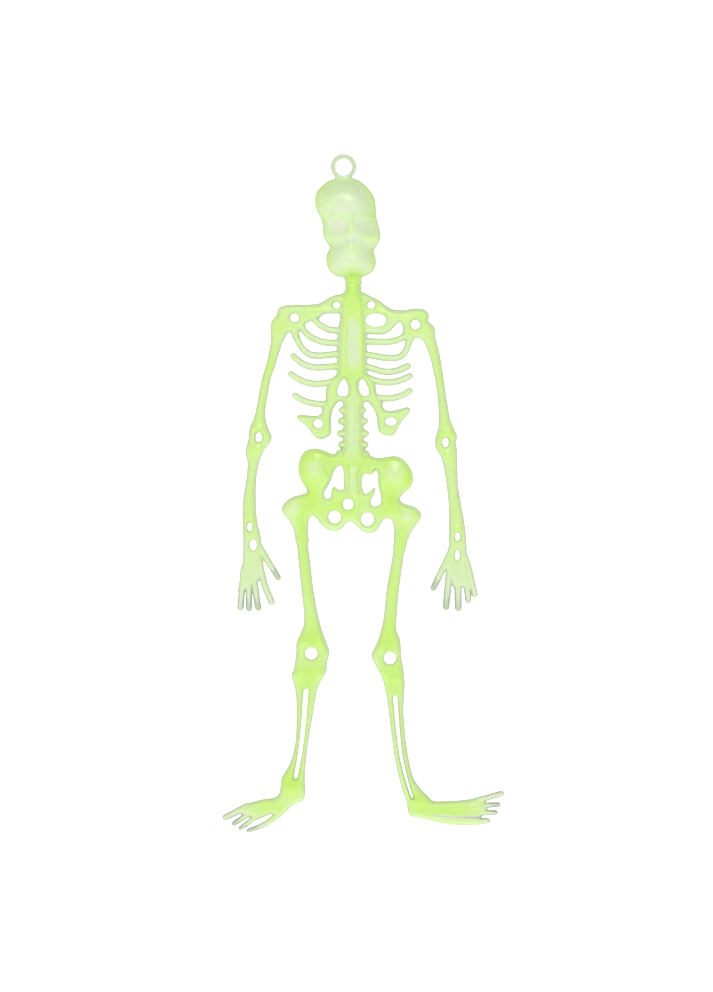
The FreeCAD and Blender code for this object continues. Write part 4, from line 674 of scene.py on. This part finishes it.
# --- material ----------------------------------------------------------------------------
def srgb(r, g, b, share=1.0):
    """Linear colour from 0-255 display values, or a share of it."""
    return tuple(share * ((v / 255 + 0.055) / 1.055) ** 2.4 for v in (r, g, b)) + (1.0,)


BODY_SHADE = 0.785  # share of the display colour that the plastic itself gives back
MOTTLE_SHARE = 0.34  # how far the mottle shifts the depth of colour


def glow_plastic():
    """Soft translucent plastic: pale where it is thin, deeper yellow-green where it is thick, with
    painted shade at its outlines, on the feet and at the tips, and a faint painted glow.
    """
    mat = bpy.data.materials.new("glow_plastic")
    mat.use_nodes = True
    nodes, links = mat.node_tree.nodes, mat.node_tree.links
    shader = nodes["Principled BSDF"]
    deep = nodes.new("ShaderNodeAttribute")
    deep.attribute_name = "tone"
    by_depth_and_painted_shade = nodes.new("ShaderNodeMapRange")
    by_depth_and_painted_shade.clamp = False
    by_depth_and_painted_shade.inputs["From Min"].default_value = 1.1
    by_depth_and_painted_shade.inputs["From Max"].default_value = 6.0
    mottle = nodes.new("ShaderNodeTexNoise")
    mottle.inputs["Scale"].default_value = 90.0
    mottle.inputs["Detail"].default_value = 4.0
    place = nodes.new("ShaderNodeTexCoord")
    links.new(place.outputs["Object"], mottle.inputs["Vector"])
    shift = nodes.new("ShaderNodeMath")
    shift.operation = "MULTIPLY_ADD"
    shift.inputs[1].default_value = MOTTLE_SHARE
    links.new(mottle.outputs["Fac"], shift.inputs[0])
    links.new(by_depth_and_painted_shade.outputs["Result"], shift.inputs[2])
    links.new(deep.outputs["Fac"], by_depth_and_painted_shade.inputs["Value"])
    ramp = nodes.new("ShaderNodeValToRGB")
    steps = ramp.color_ramp
    # The lowest step, a darker grey, is what the painted shade at the finger, thumb and toe tips pulls
    # their colour towards.
    steps.elements[0].position = 0.0
    steps.elements[0].color = srgb(192, 204, 178, BODY_SHADE)
    steps.elements[1].position = 1.0
    steps.elements[1].color = srgb(198, 238, 112, BODY_SHADE)
    for position, colour in ((0.12, (220, 230, 202)), (0.26, (215, 235, 188)),
                             (0.5, (211, 237, 164)), (0.75, (203, 239, 132))):
        steps.elements.new(position).color = srgb(*colour, BODY_SHADE)
    links.new(shift.outputs["Value"], ramp.inputs["Fac"])
    # Painted shade along the outlines: within 1.15 mm of every outline and hole the colour is multiplied
    # towards a grey-green, most strongly at the edge, standing in for the shading of the rounded edges.
    inward = nodes.new("ShaderNodeAttribute")
    inward.attribute_name = "inward"
    edge = nodes.new("ShaderNodeMapRange")
    edge.inputs["From Max"].default_value = 1.15
    edge.inputs["To Min"].default_value = 0.6
    edge.inputs["To Max"].default_value = 0.0
    links.new(inward.outputs["Fac"], edge.inputs["Value"])
    rim = nodes.new("ShaderNodeMix")
    rim.data_type = "RGBA"
    rim.blend_type = "MULTIPLY"
    # grey-green of the painted edge shade
    rim.inputs["B"].default_value = srgb(205, 212, 190)
    links.new(edge.outputs["Result"], rim.inputs["Factor"])
    links.new(ramp.outputs["Color"], rim.inputs["A"])
    links.new(rim.outputs["Result"], shader.inputs["Base Color"])
    # Painted glow: the colour, painted edge shade included, is also given off as a faint emission that
    # brightens the plastic's shading.
    links.new(rim.outputs["Result"], shader.inputs["Emission Color"])
    shader.inputs["Emission Strength"].default_value = 0.1
    shader.inputs["Subsurface Weight"].default_value = 0.25
    shader.inputs["Subsurface Scale"].default_value = 0.0015
    shader.inputs["Subsurface Radius"].default_value = (0.7, 0.8, 0.5)
    shader.inputs["IOR"].default_value = 1.46
    shader.inputs["Specular IOR Level"].default_value = 0.45
    grain = nodes.new("ShaderNodeTexNoise")
    grain.inputs["Scale"].default_value = 900.0
    grain.inputs["Detail"].default_value = 3.0
    links.new(place.outputs["Object"], grain.inputs["Vector"])
    gloss = nodes.new("ShaderNodeMapRange")
    gloss.inputs["To Min"].default_value = 0.2
    gloss.inputs["To Max"].default_value = 0.36
    links.new(mottle.outputs["Fac"], gloss.inputs["Value"])
    links.new(gloss.outputs["Result"], shader.inputs["Roughness"])
    bump = nodes.new("ShaderNodeBump")
    bump.inputs["Strength"].default_value = 0.12
    bump.inputs["Distance"].default_value = 0.0002
    links.new(grain.outputs["Fac"], bump.inputs["Height"])
    links.new(bump.outputs["Normal"], shader.inputs["Normal"])
    return mat


def backdrop_paper():
    """White studio paper."""
    mat = bpy.data.materials.new("paper")
    mat.use_nodes = True
    nodes, links = mat.node_tree.nodes, mat.node_tree.links
    shader = nodes["Principled BSDF"]
    shader.inputs["Roughness"].default_value = 0.9
    shader.inputs["Specular IOR Level"].default_value = 0.1
    fibre = nodes.new("ShaderNodeTexNoise")
    fibre.inputs["Scale"].default_value = 400.0
    tone = nodes.new("ShaderNodeValToRGB")
    tone.color_ramp.elements[0].color = (0.90, 0.90, 0.90, 1.0)
    tone.color_ramp.elements[1].color = (0.93, 0.93, 0.93, 1.0)
    links.new(fibre.outputs["Fac"], tone.inputs["Fac"])
    links.new(tone.outputs["Color"], shader.inputs["Base Color"])
    links.new(tone.outputs["Color"], shader.inputs["Emission Color"])
    shader.inputs["Emission Strength"].default_value = 0.75
    return mat


PLASTIC = glow_plastic()

# --- pieces ------------------------------------------------------------------------------
# Levels of the flexing lengths, from top to bottom.
NECK_FLEX = (-53.4, -58.0)
WAIST_FLEX = (-121.0, -124.6)
LEFT_SHOULDER, LEFT_HIP = (-84.5, -88.5), (-174.0, -179.0)
RIGHT_SHOULDER, RIGHT_HIP = (-87.0, -91.0), (-177.0, -182.0)
RIGHT_ANKLE = (-294.5, -299.9)
FINGERTIPS, TOES_END = -215.0, -320.0  # just below the lowest of each
BETWEEN_LEGS = 5.0

X, Z = np.meshgrid(X_GRID, Z_GRID, indexing="ij")
left_of = np.interp(Z_GRID, (-180.0, -175.0, -100.0, -90.0), (-25.0, -31.0, -31.0, -27.0))[None, :]
LEFT_SIDE = (X < left_of) & (Z > FINGERTIPS) & (Z < LEFT_SHOULDER[0])
RIGHT_SIDE = (X > 39.0) & (Z > FINGERTIPS) & (Z < RIGHT_SHOULDER[0])
MIDDLE = ~LEFT_SIDE & ~RIGHT_SIDE
SPINE = (X > -4.5) & (X < 14.0)
TRUNK_END = np.where(SPINE, WAIST_FLEX[0], -132.0)
HIP_LEVEL = np.where(X < BETWEEN_LEGS, LEFT_HIP[0], RIGHT_HIP[0])

# piece, parent body, body, region, top and bottom of the flexing length, CAD nodes it replaces
PIECES = [
    ("figure_skull", None, "skull", Z > NECK_FLEX[0], None, ("skull", "hanging_ring")),
    ("figure_torso", "skull", "torso", MIDDLE & (Z < NECK_FLEX[0]) & (Z > TRUNK_END), NECK_FLEX,
     ["neck_web", "breastplate", "upper_spine"]
     + [side + "_" + part for side in ("left", "right")
        for part in ["shoulder", "costal_arch"] + ["rib_%d" % k for k in range(1, 7)]]),
    ("figure_pelvis", "torso", "pelvis",
     MIDDLE & (Z < TRUNK_END) & (Z > HIP_LEVEL), WAIST_FLEX,
     ("waist_web", "lower_spine", "pelvis")),
]
# bone, flexing length above it, parent body, top and bottom of the flexing length
LEVELS = {
    "left": [
        ("upper_arm", "shoulder", "torso", *LEFT_SHOULDER),
        ("forearm", "elbow", "left_upper_arm", -125.0, -130.6),
        ("hand", "wrist", "left_forearm", -167.5, -172.5),
        ("thigh", "hip", "pelvis", *LEFT_HIP),
        ("shin", "knee", "left_thigh", -225.4, -234.4),
        ("foot", "ankle", "left_shin", -286.5, -292.0),
    ],
    "right": [
        ("upper_arm", "shoulder", "torso", *RIGHT_SHOULDER),
        ("forearm", "elbow", "right_upper_arm", -127.4, -133.0),
        ("hand", "wrist", "right_forearm", -172.5, -177.2),
        ("thigh", "hip", "pelvis", *RIGHT_HIP),
        ("shin", "knee", "right_thigh", -227.6, -236.6),
        ("foot", "ankle", "right_shin", *RIGHT_ANKLE),
    ],
}
RIGHT_WEB = (X < 42.2) & (Z > RIGHT_ANKLE[1])
for side, levels in LEVELS.items():
    arm = LEFT_SIDE if side == "left" else RIGHT_SIDE
    leg = MIDDLE & (Z < LEFT_HIP[0]) & ((X < BETWEEN_LEGS) if side == "left" else (X >= BETWEEN_LEGS))
    for (bone, web, parent, top, bottom), below in zip(levels, levels[1:] + [None]):
        end = FINGERTIPS if bone == "hand" else TOES_END if below is None else below[3]
        region = (arm if bone in ("upper_arm", "forearm", "hand") else leg) & (Z < top) & (Z > end)
        body, web_node = side + "_" + bone, side + "_" + web + "_web"
        if body == "right_foot":
            PIECES.append(("figure_right_ankle", parent, body, region & RIGHT_WEB,
                           (top, bottom), (web_node,)))
            PIECES.append(("figure_right_foot", None, body, region & ~RIGHT_WEB, None, (body,)))
        else:
            PIECES.append(("figure_" + body, parent, body, region, (top, bottom), (web_node, body)))

for name, parent, body, region, flex, replaced in PIECES:
    piece = make_piece(name, region, PLASTIC)
    if parent is None:
        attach(piece, body)
    else:
        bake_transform(piece)
    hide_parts(*replaced)

# --- studio ------------------------------------------------------------------------------
FLOOR, SWEEP_START, SWEEP_RADIUS = -0.8, 1.4, 0.4  # metres
profile = [(-2.5, FLOOR), (SWEEP_START, FLOOR)]
profile += [(SWEEP_START + SWEEP_RADIUS * math.sin(a), FLOOR + SWEEP_RADIUS * (1 - math.cos(a)))
            for a in np.linspace(0.1, 1.57, 12)]
profile += [(SWEEP_START + SWEEP_RADIUS, 2.0)]
verts = [(x, y, z) for y, z in profile for x in (-2.6, 2.6)]
faces = [(2 * k, 2 * k + 1, 2 * k + 3, 2 * k + 2) for k in range(len(profile) - 1)]
paper_mesh = bpy.data.meshes.new("paper")
paper_mesh.from_pydata(verts, [], faces)
paper_mesh.shade_smooth()
paper = bpy.data.objects.new("paper", paper_mesh)
bpy.context.scene.collection.objects.link(paper)
paper_mesh.materials.append(backdrop_paper())


CHEST = (0, 0, -0.15)


def softbox(name, place, size, power):
    """Square area light at a place, turned to the chest."""
    lamp = bpy.data.lights.new(name, "AREA")
    lamp.size = size
    lamp.energy = power
    obj = bpy.data.objects.new(name, lamp)
    direction = np.array(CHEST) - np.array(place)
    obj.location = place
    obj.rotation_euler = (math.acos(-direction[2] / np.linalg.norm(direction)), 0,
                          math.atan2(direction[0], -direction[1]) + math.pi)
    bpy.context.scene.collection.objects.link(obj)


softbox("key", (0.1, -1.2, 0.7), 0.5, 7.6)
softbox("fill", (-0.9, -0.9, 0.2), 0.5, 1.5)
world = bpy.data.worlds.new("studio")
world.use_nodes = True
world.node_tree.nodes["Background"].inputs["Color"].default_value = (1.0, 1.0, 1.0, 1.0)
world.node_tree.nodes["Background"].inputs["Strength"].default_value = 0.62
bpy.context.scene.world = world
bpy.context.scene.view_settings.view_transform = "Standard"

lens = bpy.data.cameras.new("camera")
lens.lens = 92.1
camera = bpy.data.objects.new("camera", lens)
camera.location = (0.00614, -1.2, -0.1555)
camera.rotation_euler = (math.pi / 2, 0, 0)
bpy.context.scene.collection.objects.link(camera)
bpy.context.scene.camera = camera
